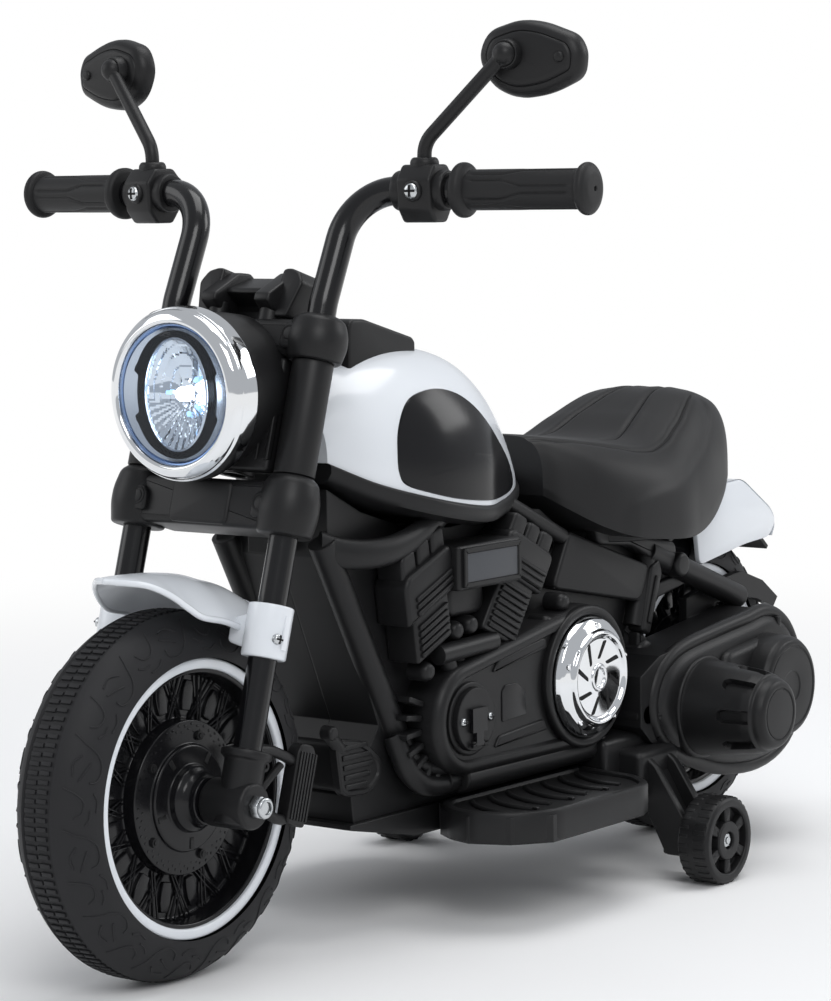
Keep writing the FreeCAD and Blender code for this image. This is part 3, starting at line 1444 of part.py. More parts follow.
motor_room = rod(d.motor_radius + d.seat_gap, (gearbox_face, *motor_at), d.motor_length + 1)
drum_room = cone(d.drum_radius - d.cover_wall, d.drum_end_radius - d.cover_wall, (cover_face, *motor_at),
                 d.drum_length - d.cover_wall)
cap_room = d.drive_cap_radius - d.cover_wall
nut_room = rod(cap_room, (cover_face, rear_y, hub_z), d.drive_cap_depth - d.cover_wall)
axle_hole = rod(bore, (0, rear_y, hub_z), cover_face + 1)
keep(cut(fuse(cover_sheet, drum, cap), motor_room, drum_room, nut_room, axle_hole), "gearbox_cover")

# Right rear arm, rear axle and its nuts
arm_points = [(y, z) for y, z in gearbox_points]
arm_face = gearbox_x + d.rear_arm_depth
arm = mirrored(fuse(side_slab(arm_points, gearbox_x, arm_face),
                    rod(d.drive_cap_radius * 0.8, (arm_face, rear_y, hub_z), d.rear_arm_depth)))
arm_nut_room = rod(d.nut_radius + 4, (-arm_face - d.rear_arm_depth - 1, rear_y, hub_z), d.rear_arm_depth + 1)
arm_bore = rod(bore, (-arm_face - d.rear_arm_depth, rear_y, hub_z), d.gearbox_depth)
keep(cut(arm, arm_nut_room, arm_bore), "rear_arm_right")
left_end_x = cover_face + d.nut_height + 3
right_end_x = arm_face + d.nut_height + 3
keep(rod(d.axle_radius, (-right_end_x, rear_y, hub_z), left_end_x + right_end_x), "rear_axle")
rear_nuts = [axle_nut(rear_y, cover_face), axle_nut(rear_y, -arm_face - d.nut_height)]

# Stabiliser wheels on bolted arms under the footboards
stabiliser_y = aft(d.stabiliser_aft)
stabiliser_inner = d.stabiliser_face - d.stabiliser_width
bolt_bore = d.stabiliser_bolt_radius + d.running_clearance
arm_end = stabiliser_inner - d.stabiliser_gap
bracket_face = [
    (d.deck_half_width, deck_foot),
    (d.deck_half_width, deck_top - 2),
    (arm_end - 22, deck_top - 2),
    (arm_end, d.stabiliser_radius + 12),
    (arm_end, d.stabiliser_radius - 12),
    (arm_end - 16, d.stabiliser_radius - 12),
    (arm_end - 40, deck_foot),
]
bracket = front_slab(bracket_face, stabiliser_y - d.stabiliser_arm_half, stabiliser_y + d.stabiliser_arm_half)
bolt_hole = rod(bolt_bore, (arm_end - 30, stabiliser_y, d.stabiliser_radius), 60)
left_bracket = cut(bracket, bolt_hole)
keep(group(left_bracket, mirrored(left_bracket)), "stabiliser_brackets")
tread_edge = d.stabiliser_radius - 2
roller = [
    (bolt_bore, stabiliser_inner),
    (d.stabiliser_radius * 0.3, stabiliser_inner),
    (d.stabiliser_radius * 0.3, stabiliser_inner + 4),
    (tread_edge - 5, stabiliser_inner + 4),
    (tread_edge - 5, stabiliser_inner),
    (tread_edge, stabiliser_inner),
    (d.stabiliser_radius, stabiliser_inner + 3),
    (d.stabiliser_radius, d.stabiliser_face - 3),
    (tread_edge, d.stabiliser_face),
    (tread_edge - 5, d.stabiliser_face),
    (tread_edge - 5, d.stabiliser_face - 4),
    (bolt_bore, d.stabiliser_face - 4),
]
left_roller = turned(roller, (0, stabiliser_y, d.stabiliser_radius))
keep(left_roller, "stabiliser_wheel_left")
keep(mirrored(left_roller), "stabiliser_wheel_right")
bolt_start = arm_end - 14
bolt_end = d.stabiliser_face - 4 + d.seat_gap
shank_length = bolt_end - bolt_start + 1
bolt_shank = rod(d.stabiliser_bolt_radius, (bolt_start, stabiliser_y, d.stabiliser_radius), shank_length)
bolt_head = prism(6, d.nut_radius, (bolt_end, stabiliser_y, d.stabiliser_radius), 3)
stabiliser_bolt = fuse(bolt_shank, bolt_head)
keep(group(*rear_nuts, *port_screws, stabiliser_bolt, mirrored(stabiliser_bolt)), "body_fasteners")

# Battery and control board in the tray between the shells
tray_floor = deck_foot + d.footboard_wall
battery_y = fore(250)
board_y = fore(182)
battery_high = (d.battery_width / 2, battery_y + d.battery_length, tray_floor + d.battery_height)
keep(box((d.battery_width / -2, battery_y, tray_floor), battery_high), "battery")
board_high = (d.board_width / 2, board_y + d.board_length, tray_floor + d.board_height)
keep(box((d.board_width / -2, board_y, tray_floor), board_high), "control_board")

doc.recompute()
faults = []
for obj in doc.Objects:
    if "Invalid" in obj.State or "Error" in obj.State:
        faults.append(f"{obj.Name} ({obj.Label}) is {obj.State}")
for obj in SUBPARTS:
    if obj.Shape.isNull() or not obj.Shape.isValid():
        faults.append(f"{obj.Label} has no valid shape")
if faults:
    raise RuntimeError("; ".join(faults))

os.makedirs("parts", exist_ok=True)
for obj in SUBPARTS:
    obj.Shape.exportStep(os.path.join("parts", f"{obj.Label}.step"))
print(len(SUBPARTS), "sub-parts written")
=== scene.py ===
import json
import math

import bpy
import numpy as np
from mathutils import Matrix, Vector
from mathutils.bvhtree import BVHTree


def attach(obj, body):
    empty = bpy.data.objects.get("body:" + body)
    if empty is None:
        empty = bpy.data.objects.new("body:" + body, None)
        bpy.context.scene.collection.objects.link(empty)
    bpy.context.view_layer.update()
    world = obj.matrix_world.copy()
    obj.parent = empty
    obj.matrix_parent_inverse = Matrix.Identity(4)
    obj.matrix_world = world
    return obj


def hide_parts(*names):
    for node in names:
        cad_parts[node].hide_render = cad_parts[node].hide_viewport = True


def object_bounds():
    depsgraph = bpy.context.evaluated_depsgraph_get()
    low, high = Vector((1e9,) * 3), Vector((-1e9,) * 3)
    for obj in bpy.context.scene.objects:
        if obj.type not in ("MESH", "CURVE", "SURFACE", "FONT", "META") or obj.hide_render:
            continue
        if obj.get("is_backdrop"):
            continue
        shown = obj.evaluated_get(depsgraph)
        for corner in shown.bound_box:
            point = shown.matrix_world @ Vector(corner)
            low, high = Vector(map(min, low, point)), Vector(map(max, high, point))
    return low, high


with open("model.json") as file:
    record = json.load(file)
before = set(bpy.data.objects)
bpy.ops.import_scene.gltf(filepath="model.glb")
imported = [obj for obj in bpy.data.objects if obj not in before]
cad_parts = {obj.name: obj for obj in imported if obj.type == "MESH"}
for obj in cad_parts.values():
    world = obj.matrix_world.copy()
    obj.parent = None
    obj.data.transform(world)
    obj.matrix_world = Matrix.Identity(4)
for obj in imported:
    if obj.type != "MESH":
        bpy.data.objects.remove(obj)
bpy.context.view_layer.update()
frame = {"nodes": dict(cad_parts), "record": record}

# Tyres: two solid rings of black foam, moulded in one piece and stretched over the rims. A sunk band for
# the comb tread lies between two grooves. Lengths in this file are millimetres: x to the rider's left, then
# the distance behind the front axle, then the height above the floor.
AXLE_BACK = 286
AXLE_HEIGHT = 115
WHEELBASE = 572
WHEELS = (("front", "front_wheel", (0, 0, AXLE_HEIGHT)),
          ("rear", "rear_wheel", (0, WHEELBASE, AXLE_HEIGHT)))
TYRE_RADIUS = 115
TYRE_MIDDLE = 87
TYRE_HALF = 29.6
CROWN_FALL = 0.0009
BAND_HALF, BAND_DEPTH = 8.6, 1.3
GROOVE_HALF, GROOVE_DEPTH = 10.6, 1.6
SECTION_STEPS = 44
BLOTCH_SIZE = 45
COAT_ROUGHNESS = 0.08
CREASE = 38


def linear(code):
    """A colour written as six hex digits, in linear light."""
    channels = [int(code[i:i + 2], 16) / 255 for i in (0, 2, 4)]
    return [c / 12.92 if c <= 0.04045 else ((c + 0.055) / 1.055) ** 2.4 for c in channels] + [1.0]


def node(tree, kind, inputs=None, **settings):
    """Add a node, or find it by name, with its settings and links. An input is a value or what feeds it."""
    made = tree.nodes.get(kind) or tree.nodes.new(kind)
    for name, value in settings.items():
        setattr(made, name, value)
    for socket, value in (inputs or {}).items():
        if isinstance(value, bpy.types.NodeSocket):
            tree.links.new(value, made.inputs[socket])
        else:
            made.inputs[socket].default_value = value
    return made.outputs


def material(name, colour, roughness, metallic=0.0, grain=0.0, relief=0.0, coat=0.0, blotch=0.0, shine=0.3,
             edge=0.0):
    """A surface with fine grain, soft edges and slow changes of gloss. Grain, relief and edge are in mm."""
    made = bpy.data.materials.new(name)
    made.use_nodes = True
    tree = made.node_tree
    node(tree, "Principled BSDF", {
        "Base Color": linear(colour), "Roughness": roughness, "Metallic": metallic,
        "Specular IOR Level": shine, "Coat Weight": coat, "Coat Roughness": COAT_ROUGHNESS})
    place = node(tree, "ShaderNodeTexCoord")["Object"]
    normal = {}
    if edge:
        normal["Normal"] = node(tree, "ShaderNodeBevel", {"Radius": edge / 1000}, samples=6)["Normal"]
    if grain:
        noise = node(tree, "ShaderNodeTexNoise", {"Vector": place, "Scale": 1000 / grain, "Detail": 3})
        normal["Normal"] = node(tree, "ShaderNodeBump", {
            "Height": noise["Fac"], "Distance": relief / 1000, "Strength": 0.6, **normal})["Normal"]
    node(tree, "Principled BSDF", normal)
    if blotch:
        slow = node(tree, "ShaderNodeTexNoise", {"Vector": place, "Scale": 1000 / BLOTCH_SIZE})
        span = node(tree, "ShaderNodeMapRange", {
            "Value": slow["Fac"], "To Min": roughness - blotch, "To Max": roughness + blotch})
        node(tree, "Principled BSDF", {"Roughness": span["Result"]})
    return made


def mesh_of(name, meshes, crease, back=0):
    """One mesh, in metres, from several shapes. Edges past the crease angle stay sharp."""
    points, faces = [], []
    for some_points, some_faces in meshes:
        start = len(points)
        points.extend(some_points)
        faces.extend([tuple(i + start for i in face) for face in some_faces])
    table = np.array([tuple(p) for p in points], float)
    table[:, 1] -= back
    mesh = bpy.data.meshes.new(name)
    mesh.from_pydata((table / 1000).tolist(), [], faces)
    mesh.validate()
    mesh.shade_smooth()
    mesh.set_sharp_from_angle(angle=math.radians(crease))
    return mesh


def shown(name, mesh, body):
    """A mesh put in the scene, riding on a body."""
    made = bpy.data.objects.new(name, mesh)
    bpy.context.scene.collection.objects.link(made)
    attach(made, body)
    return made


def piece(name, body, look, meshes, stands_for=(), crease=CREASE):
    """One object from several shapes, which may stand for CAD nodes."""
    mesh = mesh_of(name, meshes, crease, AXLE_BACK)
    mesh.materials.append(look)
    made = shown(name, mesh, body)
    if stands_for:
        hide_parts(*stands_for)
    return made


def turned(profile, centre, along="x", segments=96):
    """A (radius, distance) line spun about an axis through a centre."""
    points, faces = [], []
    for i in range(segments):
        angle = math.radians(360.0 * i / segments)
        c, s = math.cos(angle), math.sin(angle)
        for radius, distance in profile:
            local = {"x": (distance, radius * c, radius * s), "y": (radius * s, distance, radius * c),
                     "z": (radius * c, radius * s, distance)}[along]
            points.append(tuple(a + b for a, b in zip(local, centre)))
    rows = len(profile)
    for i in range(segments):
        a, b = i * rows, ((i + 1) % segments) * rows
        for j in range(rows - 1):
            faces.append((a + j, b + j, b + j + 1, a + j + 1))
    return points, faces


# Foam: EVA with a closed moulded skin. It looks dull and dark grey, with a grain in its broad highlights
# that is drawn coarser than a real one.
foam = material("foam_tyre", "1e1e20", 0.6, grain=0.7, relief=0.1, blotch=0.06)
tyre_section = []
for i in range(-SECTION_STEPS, SECTION_STEPS + 1):
    phi = math.radians(i * 90 / SECTION_STEPS)
    x, r = TYRE_HALF * math.sin(phi), TYRE_MIDDLE + TYRE_HALF * math.cos(phi)
    r = min(r, TYRE_RADIUS - CROWN_FALL * x * x)
    if abs(x) < BAND_HALF:
        r -= BAND_DEPTH
    elif abs(x) < GROOVE_HALF:
        r -= GROOVE_DEPTH
    tyre_section.append((r, x))
for name, body, centre in WHEELS:
    piece(name + "_tyre_skin", body, foam, [turned(tyre_section, centre, segments=180)],
          [name + "_tyre"])

# Treads: two rows of short foam teeth in the band on each tyre's crown, moulded with it, one row half a
# step behind the other. Geometry nodes copy the teeth round the axle. The result is made a plain mesh.
TOOTH_COUNT = 128
TOOTH_MIDDLE, TOOTH_HALF = 4.6, 3.9
TOOTH_HALF_WIDTH = 1.35
TOOTH_ROOT = 113.2
TOOTH_LAG = 1.25


def moved(mesh, change):
    """A shape with each of its points changed by a function or a matrix."""
    points, faces = mesh
    if isinstance(change, Matrix):
        return [change @ Vector(p) for p in points], faces
    return [change(*p) for p in points], faces


def spun(mesh, degrees):
    """A shape turned about the X axis."""
    return moved(mesh, Matrix.Rotation(math.radians(degrees), 4, "X"))


def inset(outline, amount):
    """A closed outline moved inwards by an amount."""
    area = sum(a[0] * b[1] - b[0] * a[1] for a, b in zip(outline, outline[1:] + outline[:1]))
    turn = 1 if area > 0 else -1
    result = []
    for before, here, after in zip(outline[-1:] + outline[:-1], outline, outline[1:] + outline[:1]):
        one = Vector((here[0] - before[0], here[1] - before[1]))
        two = Vector((after[0] - here[0], after[1] - here[1]))
        one = one.normalized() if one.length > 1e-9 else two.normalized()
        two = two.normalized() if two.length > 1e-9 else one
        normal = Vector((-(one.y + two.y), one.x + two.x))
        normal = normal.normalized() if normal.length > 1e-9 else Vector((-one.y, one.x))
        reach = amount / max(0.5, normal.dot(Vector((-one.y, one.x))))
        result.append((here[0] + normal.x * reach * turn, here[1] + normal.y * reach * turn))
    return result


def wrapped(rows, around):
    """The faces between rings of points, from one ring to the next."""
    faces = []
    for i in range(rows - 1):
        for k in range(around):
            j = (k + 1) % around
            faces.append((i * around + k, i * around + j, (i + 1) * around + j, (i + 1) * around + k))
    return faces


def lids(rows, around):
    """The two faces that close the first and the last ring."""
    return [tuple(reversed(range(around))), tuple((rows - 1) * around + k for k in range(around))]


def stack(outline, levels, plane="yz"):
    """Layers of one outline, each at a level and drawn in by an amount, closed at both ends."""
    points, count = [], len(outline)
    for level, amount in levels:
        for u, v in inset(outline, amount):
            points.append({"yz": (level, u, v), "xz": (u, level, v), "xy": (u, v, level)}[plane])
    return points, wrapped(len(levels), count) + lids(len(levels), count)


def slab(outline, low, high, bevel=1.0, plane="yz", steps=3):
    """An outline with thickness and rounded edges: seen from the side, the front or above."""
    arc = [math.pi / 2 * i / steps for i in range(steps + 1)]
    levels = [(low + bevel * (1 - math.cos(a)), bevel * (1 - math.sin(a))) for a in arc]
    levels += [(high - (level - low), amount) for level, amount in reversed(levels)]
    return stack(outline, levels, plane)


def rectangle(u0, v0, u1, v1):
    """The outline of a rectangle, by two corners."""
    return [(u0, v0), (u1, v0), (u1, v1), (u0, v1)]


def block(low, high, bevel=1.0):
    """A box with rounded edges."""
    return slab(rectangle(low[0], low[1], high[0], high[1]), low[2], high[2], bevel, "xy")


def copy_tree():
    """A node tree that sets copies of a template object, each turned about X and moved a step further."""
    tree = bpy.data.node_groups.new("copies_in_steps", "GeometryNodeTree")
    tree.interface.new_socket("Geometry", in_out="OUTPUT", socket_type="NodeSocketGeometry")
    for label, kind in (("Geometry", "Geometry"), ("Template", "Object"), ("Count", "Int"),
                        ("Turn", "Float"), ("Step", "Vector"), ("Material", "Material")):
        tree.interface.new_socket(label, in_out="INPUT", socket_type="NodeSocket" + kind)
    given = node(tree, "NodeGroupInput")
    index = node(tree, "GeometryNodeInputIndex")["Index"]
    shift = node(tree, "ShaderNodeVectorMath", {"Vector": given["Step"], "Scale": index}, operation="SCALE")
    angle = node(tree, "ShaderNodeMath", {0: given["Turn"], 1: index}, operation="MULTIPLY")
    turn = node(tree, "ShaderNodeCombineXYZ", {"X": angle["Value"]})
    dots = node(tree, "GeometryNodePoints", {"Count": given["Count"], "Position": shift["Vector"]})
    source = node(tree, "GeometryNodeObjectInfo", {"Object": given["Template"]})
    copies = node(tree, "GeometryNodeInstanceOnPoints", {
        "Points": dots["Points"], "Instance": source["Geometry"], "Rotation": turn["Vector"]})
    real = node(tree, "GeometryNodeRealizeInstances", {"Geometry": copies["Instances"]})
    coat = node(tree, "GeometryNodeSetMaterial", {
        "Geometry": real["Geometry"], "Material": given["Material"]})
    node(tree, "NodeGroupOutput", {"Geometry": coat["Geometry"]})
    return tree


copies_in_steps = copy_tree()


def repeat_of(name, body, look, slot, meshes, count, turn, step, centre):
    """Copies of some shapes, drawn about the origin, set about a centre."""
    template = bpy.data.objects.new(name + "_template", mesh_of(name + "_template", meshes, CREASE))
    host = bpy.data.objects.new(name + "_host", bpy.data.meshes.new(name + "_host"))
    for helper in (template, host):
        bpy.context.scene.collection.objects.link(helper)
    repeat = host.modifiers.new("copies", "NODES")
    repeat.node_group = copies_in_steps
    inputs = {"Template": template, "Count": count, "Turn": turn, "Step": [c / 1000 for c in step],
              "Material": look}
    for item in copies_in_steps.interface.items_tree:
        if item.in_out == "INPUT" and item.name in inputs:
            repeat[item.identifier] = inputs[item.name]
    bpy.context.view_layer.update()
    mesh = bpy.data.meshes.new_from_object(host.evaluated_get(bpy.context.evaluated_depsgraph_get()))
    mesh.name = name
    mesh.transform(Matrix.Translation(Vector((centre[0], centre[1] - AXLE_BACK, centre[2])) / 1000))
    for helper in (host, template):
        bpy.data.objects.remove(helper)
    return shown(name, mesh, body)


def ring_of(name, body, look, slot, meshes, count, centre):
    """Copies all round an axle along X."""
    return repeat_of(name, body, look, slot, meshes, count, 2 * math.pi / count, (0, 0, 0), centre)


teeth = []
for side in (-1, 1):
    middle = side * TOOTH_MIDDLE
    comb = block((middle - TOOTH_HALF, -TOOTH_HALF_WIDTH, TOOTH_ROOT),
                 (middle + TOOTH_HALF, TOOTH_HALF_WIDTH, TYRE_RADIUS), 0.5)
    teeth.append(spun(comb, TOOTH_LAG * side))
for name, body, centre in WHEELS:
    ring_of(name + "_tread", body, foam, "tyre_black", teeth, TOOTH_COUNT, centre)

# Side marks: thin raised lines on both sidewalls, which come from cuts in the tyre's mould. One set of six
# lines, each given as degrees and radius, repeats round the tyre.
MARK_SETS = 12
MARK_RADIUS = 0.62
MARK_LIFT = 0.05
SIDE_MARKS = [
    [(1, 110.5), (3, 105), (5, 98), (8, 93.5), (12, 92.5), (15, 95), (15.5, 99)],
    [(7, 105.5), (10, 108.5), (14, 108)],
    [(9, 100), (12, 102.5), (15.5, 105)],
    [(18, 111), (20, 104.5), (22.5, 101), (26, 102), (27.5, 106)],
    [(19, 95.5), (22, 92.5), (26, 93)],
    [(25, 97), (28, 97.5), (30, 100)],
]


def flipped(mesh):
    """The right-hand copy of a left-hand shape."""
    points, faces = mesh
    return [(-p[0], p[1], p[2]) for p in points], [tuple(reversed(f)) for f in faces]


def both(meshes):
    """Left-hand shapes and their right-hand copies."""
    return meshes + [flipped(m) for m in meshes]


def curve_through(points, steps=8):
    """A smooth line through points."""
    p = [np.array(q, float) for q in points]
    p = [2 * p[0] - p[1]] + p + [2 * p[-1] - p[-2]]
    line = []
    for a, b, c, e in zip(p, p[1:], p[2:], p[3:]):
        for i in range(steps):
            t = i / steps
            line.append(0.5 * (2 * b + (c - a) * t + (2 * a - 5 * b + 4 * c - e) * t * t
                               + (3 * b - a - 3 * c + e) * t ** 3))
    return [tuple(q) for q in line + [p[-2]]]


def tube(points, radius, sides=16, caps=True):
    """A round rod along a line of points. The radius may be one number or one for each point."""
    line = [Vector(p) for p in points]
    count = len(line)
    radii = radius if isinstance(radius, (list, tuple)) else [radius] * count
    heading = (line[1] - line[0]).normalized()
    across = heading.orthogonal().normalized()
    made = []
    for i, here in enumerate(line):
        ahead = (line[min(i + 1, count - 1)] - line[max(i - 1, 0)]).normalized()
        across = (across - ahead * across.dot(ahead)).normalized()
        other = ahead.cross(across)
        for k in range(sides):
            a = 2 * math.pi * k / sides
            made.append(tuple(here + (across * math.cos(a) + other * math.sin(a)) * radii[i]))
    return made, wrapped(count, sides) + (lids(count, sides) if caps else [])


def on_sidewall(degrees, radius):
    """A place on the tyre's left side, a little above its skin."""
    a = math.radians(degrees)
    out = math.sqrt(max(0, TYRE_HALF ** 2 - (radius - TYRE_MIDDLE) ** 2))
    normal = Vector((out, radius - TYRE_MIDDLE)) / TYRE_HALF
    r = radius + normal.y * MARK_LIFT
    return (out + normal.x * MARK_LIFT, r * math.cos(a), r * math.sin(a))


marks = []
for line in SIDE_MARKS:
    smooth = curve_through([(a, r, 0) for a, r in line], 5)
    marks.append(tube([on_sidewall(a, r) for a, r, _ in smooth], MARK_RADIUS, 8))
for name, body, centre in WHEELS:
    ring_of(name + "_side_marks", body, foam, "tyre_black", both(marks), MARK_SETS, centre)

# White rings: flat bands of white plastic with rounded edges, one on each face of a wheel, pressed into the
# gap between the rim and the tyre's bead.


def soft_line(profile, radius, steps=3):
    """A line with its corners rounded to a radius, where there is room."""
    line = [profile[0]]
    for before, corner, after in zip(profile, profile[1:], profile[2:]):
        corner = Vector(corner)
        back, ahead = Vector(before) - corner, Vector(after) - corner
        reach = min(radius, back.length * 0.45, ahead.length * 0.45)
        first, last = corner + back.normalized() * reach, corner + ahead.normalized() * reach
        for i in range(steps + 1):
            t = i / steps
            line.append(tuple(first * (1 - t) ** 2 + corner * 2 * t * (1 - t) + last * t ** 2))
    return line + [profile[-1]]


# White plastic: ABS from a polished mould. It is clean and glossy, with a slight waviness in what it
# mirrors.
white = material("white_gloss_plastic", "dfe3e8", 0.2, grain=6, relief=0.02, coat=0.3, blotch=0.04,
                 shine=0.5)
band = soft_line([(80, 23.5), (80, 27.4), (86.9, 27.4), (86.9, 23.5)], 1.6, 4)
for name, body, centre in WHEELS:
    piece(name + "_white_rings", body, white, both([turned(band, centre, segments=128)]),
          [name + "_rim_rings"])

# Rims: black wheels of hard plastic, moulded in two halves that are screwed together. Each half has a hub,
# a raised disc like a brake's, and a deep channel out to the tyre's seat.

# Gloss black: ABS from a polished mould. It is dark, with clear highlights.
gloss = material("gloss_black_plastic", "121214", 0.2, grain=2.5, relief=0.02, blotch=0.04)
rim_section = [(4.05, 38), (15, 38), (15, 34), (17, 30), (20.5, 27.5), (21, 22.5), (32, 22), (33, 21.4),
               (33.4, 19.2), (47.5, 18.6), (48, 17.8), (48, 9.6), (50, 9), (75.4, 9), (77, 11), (77.2, 24.3),
               (78, 25), (80.4, 25)]
for name, body, centre in WHEELS:
    rim = turned(soft_line(rim_section, 1.2, 3), centre, segments=128)
    piece(name + "_rim_form", body, gloss, both([rim]), [name + "_rim"])

# Spokes, disc dots and studs: details moulded into the rims. Thin spokes cross in pairs beside small
# plates, the disc has dots like drilled holes, and five studs with notches between them stand round the
# hub.
SPOKE_FOOT, SPOKE_HEAD = (9.8, 49), (11.2, 76.5)
SPOKE_CROSS, SPOKE_PAIR = 5.2, 1.5
SPOKE_RADIUS = 0.75
PLATE = [(-3.6, 53), (3.6, 53), (4.6, 60), (4.6, 66), (3, 72), (-3, 72), (-4.6, 66), (-4.6, 60)]
DISC_DOTS = ((0, 44.5), (4.4, 41), (7.2, 45.5), (11, 42.5))
SPOKE_SETS, DOT_SETS, STUD_COUNT = 16, 24, 5


def soft_corners(outline, radius, steps=4):
    """A closed outline with its corners rounded."""
    closed = soft_line([outline[-1]] + list(outline) + [outline[0]], radius, steps)
    return closed[1:-1]


# Satin black: ABS from a lightly etched mould. It is black with soft highlights and an even grain, which is
# drawn coarser than a real one so that it shows.
satin = material("satin_black_plastic", "171718", 0.42, grain=0.5, relief=0.04, blotch=0.05)
spokes = []
for cross in (-SPOKE_CROSS, SPOKE_CROSS):
    a, b = math.radians(-cross), math.radians(cross)
    for shift in (-SPOKE_PAIR, SPOKE_PAIR):
        e = math.radians(shift)
        foot = (SPOKE_FOOT[0], SPOKE_FOOT[1] * math.cos(a + e), SPOKE_FOOT[1] * math.sin(a + e))
        head = (SPOKE_HEAD[0], SPOKE_HEAD[1] * math.cos(b + e), SPOKE_HEAD[1] * math.sin(b + e))
        spokes.append(tube([foot, head], SPOKE_RADIUS, 8))
spokes.append(spun(slab(soft_corners(PLATE, 1), 8.5, 11, 0.6), 180 / SPOKE_SETS))
dots = []
for degrees, radius in DISC_DOTS:
    a = math.radians(degrees)
    spot = (0, radius * math.cos(a), radius * math.sin(a))
    dots.append(turned([(0, 19.1), (0.8, 19.0), (1.0, 18.4)], spot, segments=10))
stud = turned([(0, 21.6), (1.6, 21.6), (1.7, 20.9), (2.9, 20.8), (3.1, 18.5)], (0, 39, 0), segments=20)
notch = spun(slab(rectangle(-1.6, 24.5, 1.6, 31.5), 21.5, 22.9, 0.5), 180 / STUD_COUNT)
for name, body, centre in WHEELS:
    ring_of(name + "_spokes", body, gloss, "satin_black", both(spokes), SPOKE_SETS, centre)
    ring_of(name + "_disc_dots", body, gloss, "satin_black", both(dots), DOT_SETS, centre)
    ring_of(name + "_disc_studs", body, satin, "satin_black", both([stud, notch]), STUD_COUNT, centre)

# Fork ends: black castings at the foot of each steel leg, with a flanged collar, an axle boss and a ribbed
# plate like a brake caliper, clamped by the axle's nuts. Shapes are drawn upright and leaned back with the
# steering axis.
RAKE = math.radians(16.9)
OFFSET = 14
LEG = 60


def lean(x, y, s):
    """From the fork's own axes to the bike."""
    back = OFFSET * math.cos(RAKE) + y * math.cos(RAKE) + s * math.sin(RAKE)
    high = AXLE_HEIGHT - OFFSET * math.sin(RAKE) - y * math.sin(RAKE) + s * math.cos(RAKE)
    return (x, back, high)


def leaned(meshes):
    """Shapes brought from the fork's own axes to the bike."""
    return [moved(m, lean) for m in meshes]


leg_at = (LEG, -OFFSET, 0)
sleeve = turned(soft_line([(9.1, -13), (12.8, -13), (12.8, 27), (15.8, 29), (15.8, 33), (9.1, 34)], 1.2),
                leg_at, "z", 48)
boss_line = [(4.1, 40), (13.8, 40), (15, 42), (15, 60), (14.4, 72.5), (12.8, 74), (4.1, 74)]
boss = turned(soft_line(boss_line, 1.5), (0, -OFFSET, 0), "x", 48)
rib_tube = turned(soft_line([(1.6, 54), (1.6, 62), (3.6, 62), (3.8, 50)], 0.5), (0, 4, 26), "x", 20)
pad = slab(soft_corners([(41, -4), (59, -6), (60, 40), (55, 46), (44, 46), (41, 40)], 3), 46, 56, 1.4)
ribs = [block((55.5, 42.8 + 2.9 * k, -2), (57, 44.4 + 2.9 * k, 41), 0.5) for k in range(6)]
arms = [tube(curve_through([(54, -6, 6), (53, 18, 1), (52, 32, -3), (51, 42, -3)], 6), 3.4, 12),
        tube(curve_through([(54, -4, 34), (53, 14, 37), (52, 30, 36), (51, 42, 34)], 6), 3.4, 12),
        tube(curve_through([(53, 8, 4), (52, 18, 16), (52, 30, 30)], 6), 2.6, 12)]
piece("fork_end_castings", "fork", satin,
      both(leaned([sleeve, boss, rib_tube, pad, *ribs, *arms])), ["fork_ends"])
nut_insert = turned([(4.1, 80.2), (5.6, 80.4), (5.9, 79.6), (5.9, 78.5)], (0, -OFFSET, 0), "x", 32)
# Nut insert: dyed nylon, which shows as a dull blue ring inside each axle nut.
blue = material("nut_insert_blue", "3d7fb8", 0.4)
piece("nut_inserts", "fork", blue, both(leaned([nut_insert])))

# Triple clamps: two black castings that grip both fork legs and carry the steering stem. Each has a barrel
# lobe on either leg, a rounded bridge, and hexagon bolts in bosses that pinch the lobes.

# Recess: the shade inside a slot or round a bolt, almost black and dull.
dark = material("recess_black", "08080a", 0.6)


def hexagon(radius, centre):
    """The outline of a hexagon, by the radius of its corners."""
    return [(centre[0] + radius * math.cos(math.pi / 3 * k), centre[1] + radius * math.sin(math.pi / 3 * k))
            for k in range(6)]


def clamp(name, cad_node, foot, height, bolt_up, bulge):
    """One clamp of the fork with its bolts, by its foot, its height, the bolts' height and its bulge."""
    middle, half = foot + height / 2, height / 2
    lobe = [(9.1, -half), (15.6, -half), (17.2, 1 - half), (19.4, -half * 0.3), (19.2, half * 0.2),
            (16.4, half * 0.8), (11.6, half), (9.1, half)]
    solids = [turned(soft_line(lobe, 4, 5), (LEG, -OFFSET, middle), "z", 64)]
    boss_line = soft_corners([(43, bolt_up - 9), (54, bolt_up - 9), (57, bolt_up), (54, bolt_up + 7.5),
                              (47, bolt_up + 7.5), (43, bolt_up + 3)], 3.4, 5)
    solids.append(slab(boss_line, -30.4, -18, 2, "xz"))
    bridge = slab(soft_corners(rectangle(-52, middle - half * 0.9, 52, middle + half * 0.7), 5), -27, 12,
                  4.6, "xz", 5)
    swell = slab(soft_corners(rectangle(-24, middle - half * 0.84, 24, middle + half * 0.62), 5),
                 -27 - bulge, 10, 2.4, "xz", 5)
    piece(name, "fork", satin, leaned(both(solids) + [bridge, swell]), [cad_node])
    # Painted shade: a dark ring round each bolt, where the bolt sits in its boss.
    ring = turned([(4.5, -30.6), (5.6, -30.7), (5.8, -30)], (50, 0, bolt_up), "y", 36)
    piece(name + "_bolt_rings", "fork", dark, leaned(both([ring])))
    bolt = slab(soft_corners(hexagon(4.2, (50, bolt_up)), 0.8, 2), -31, -29, 0.6, "xz")
    piece(name + "_bolts", "fork", satin, leaned(both([bolt])))


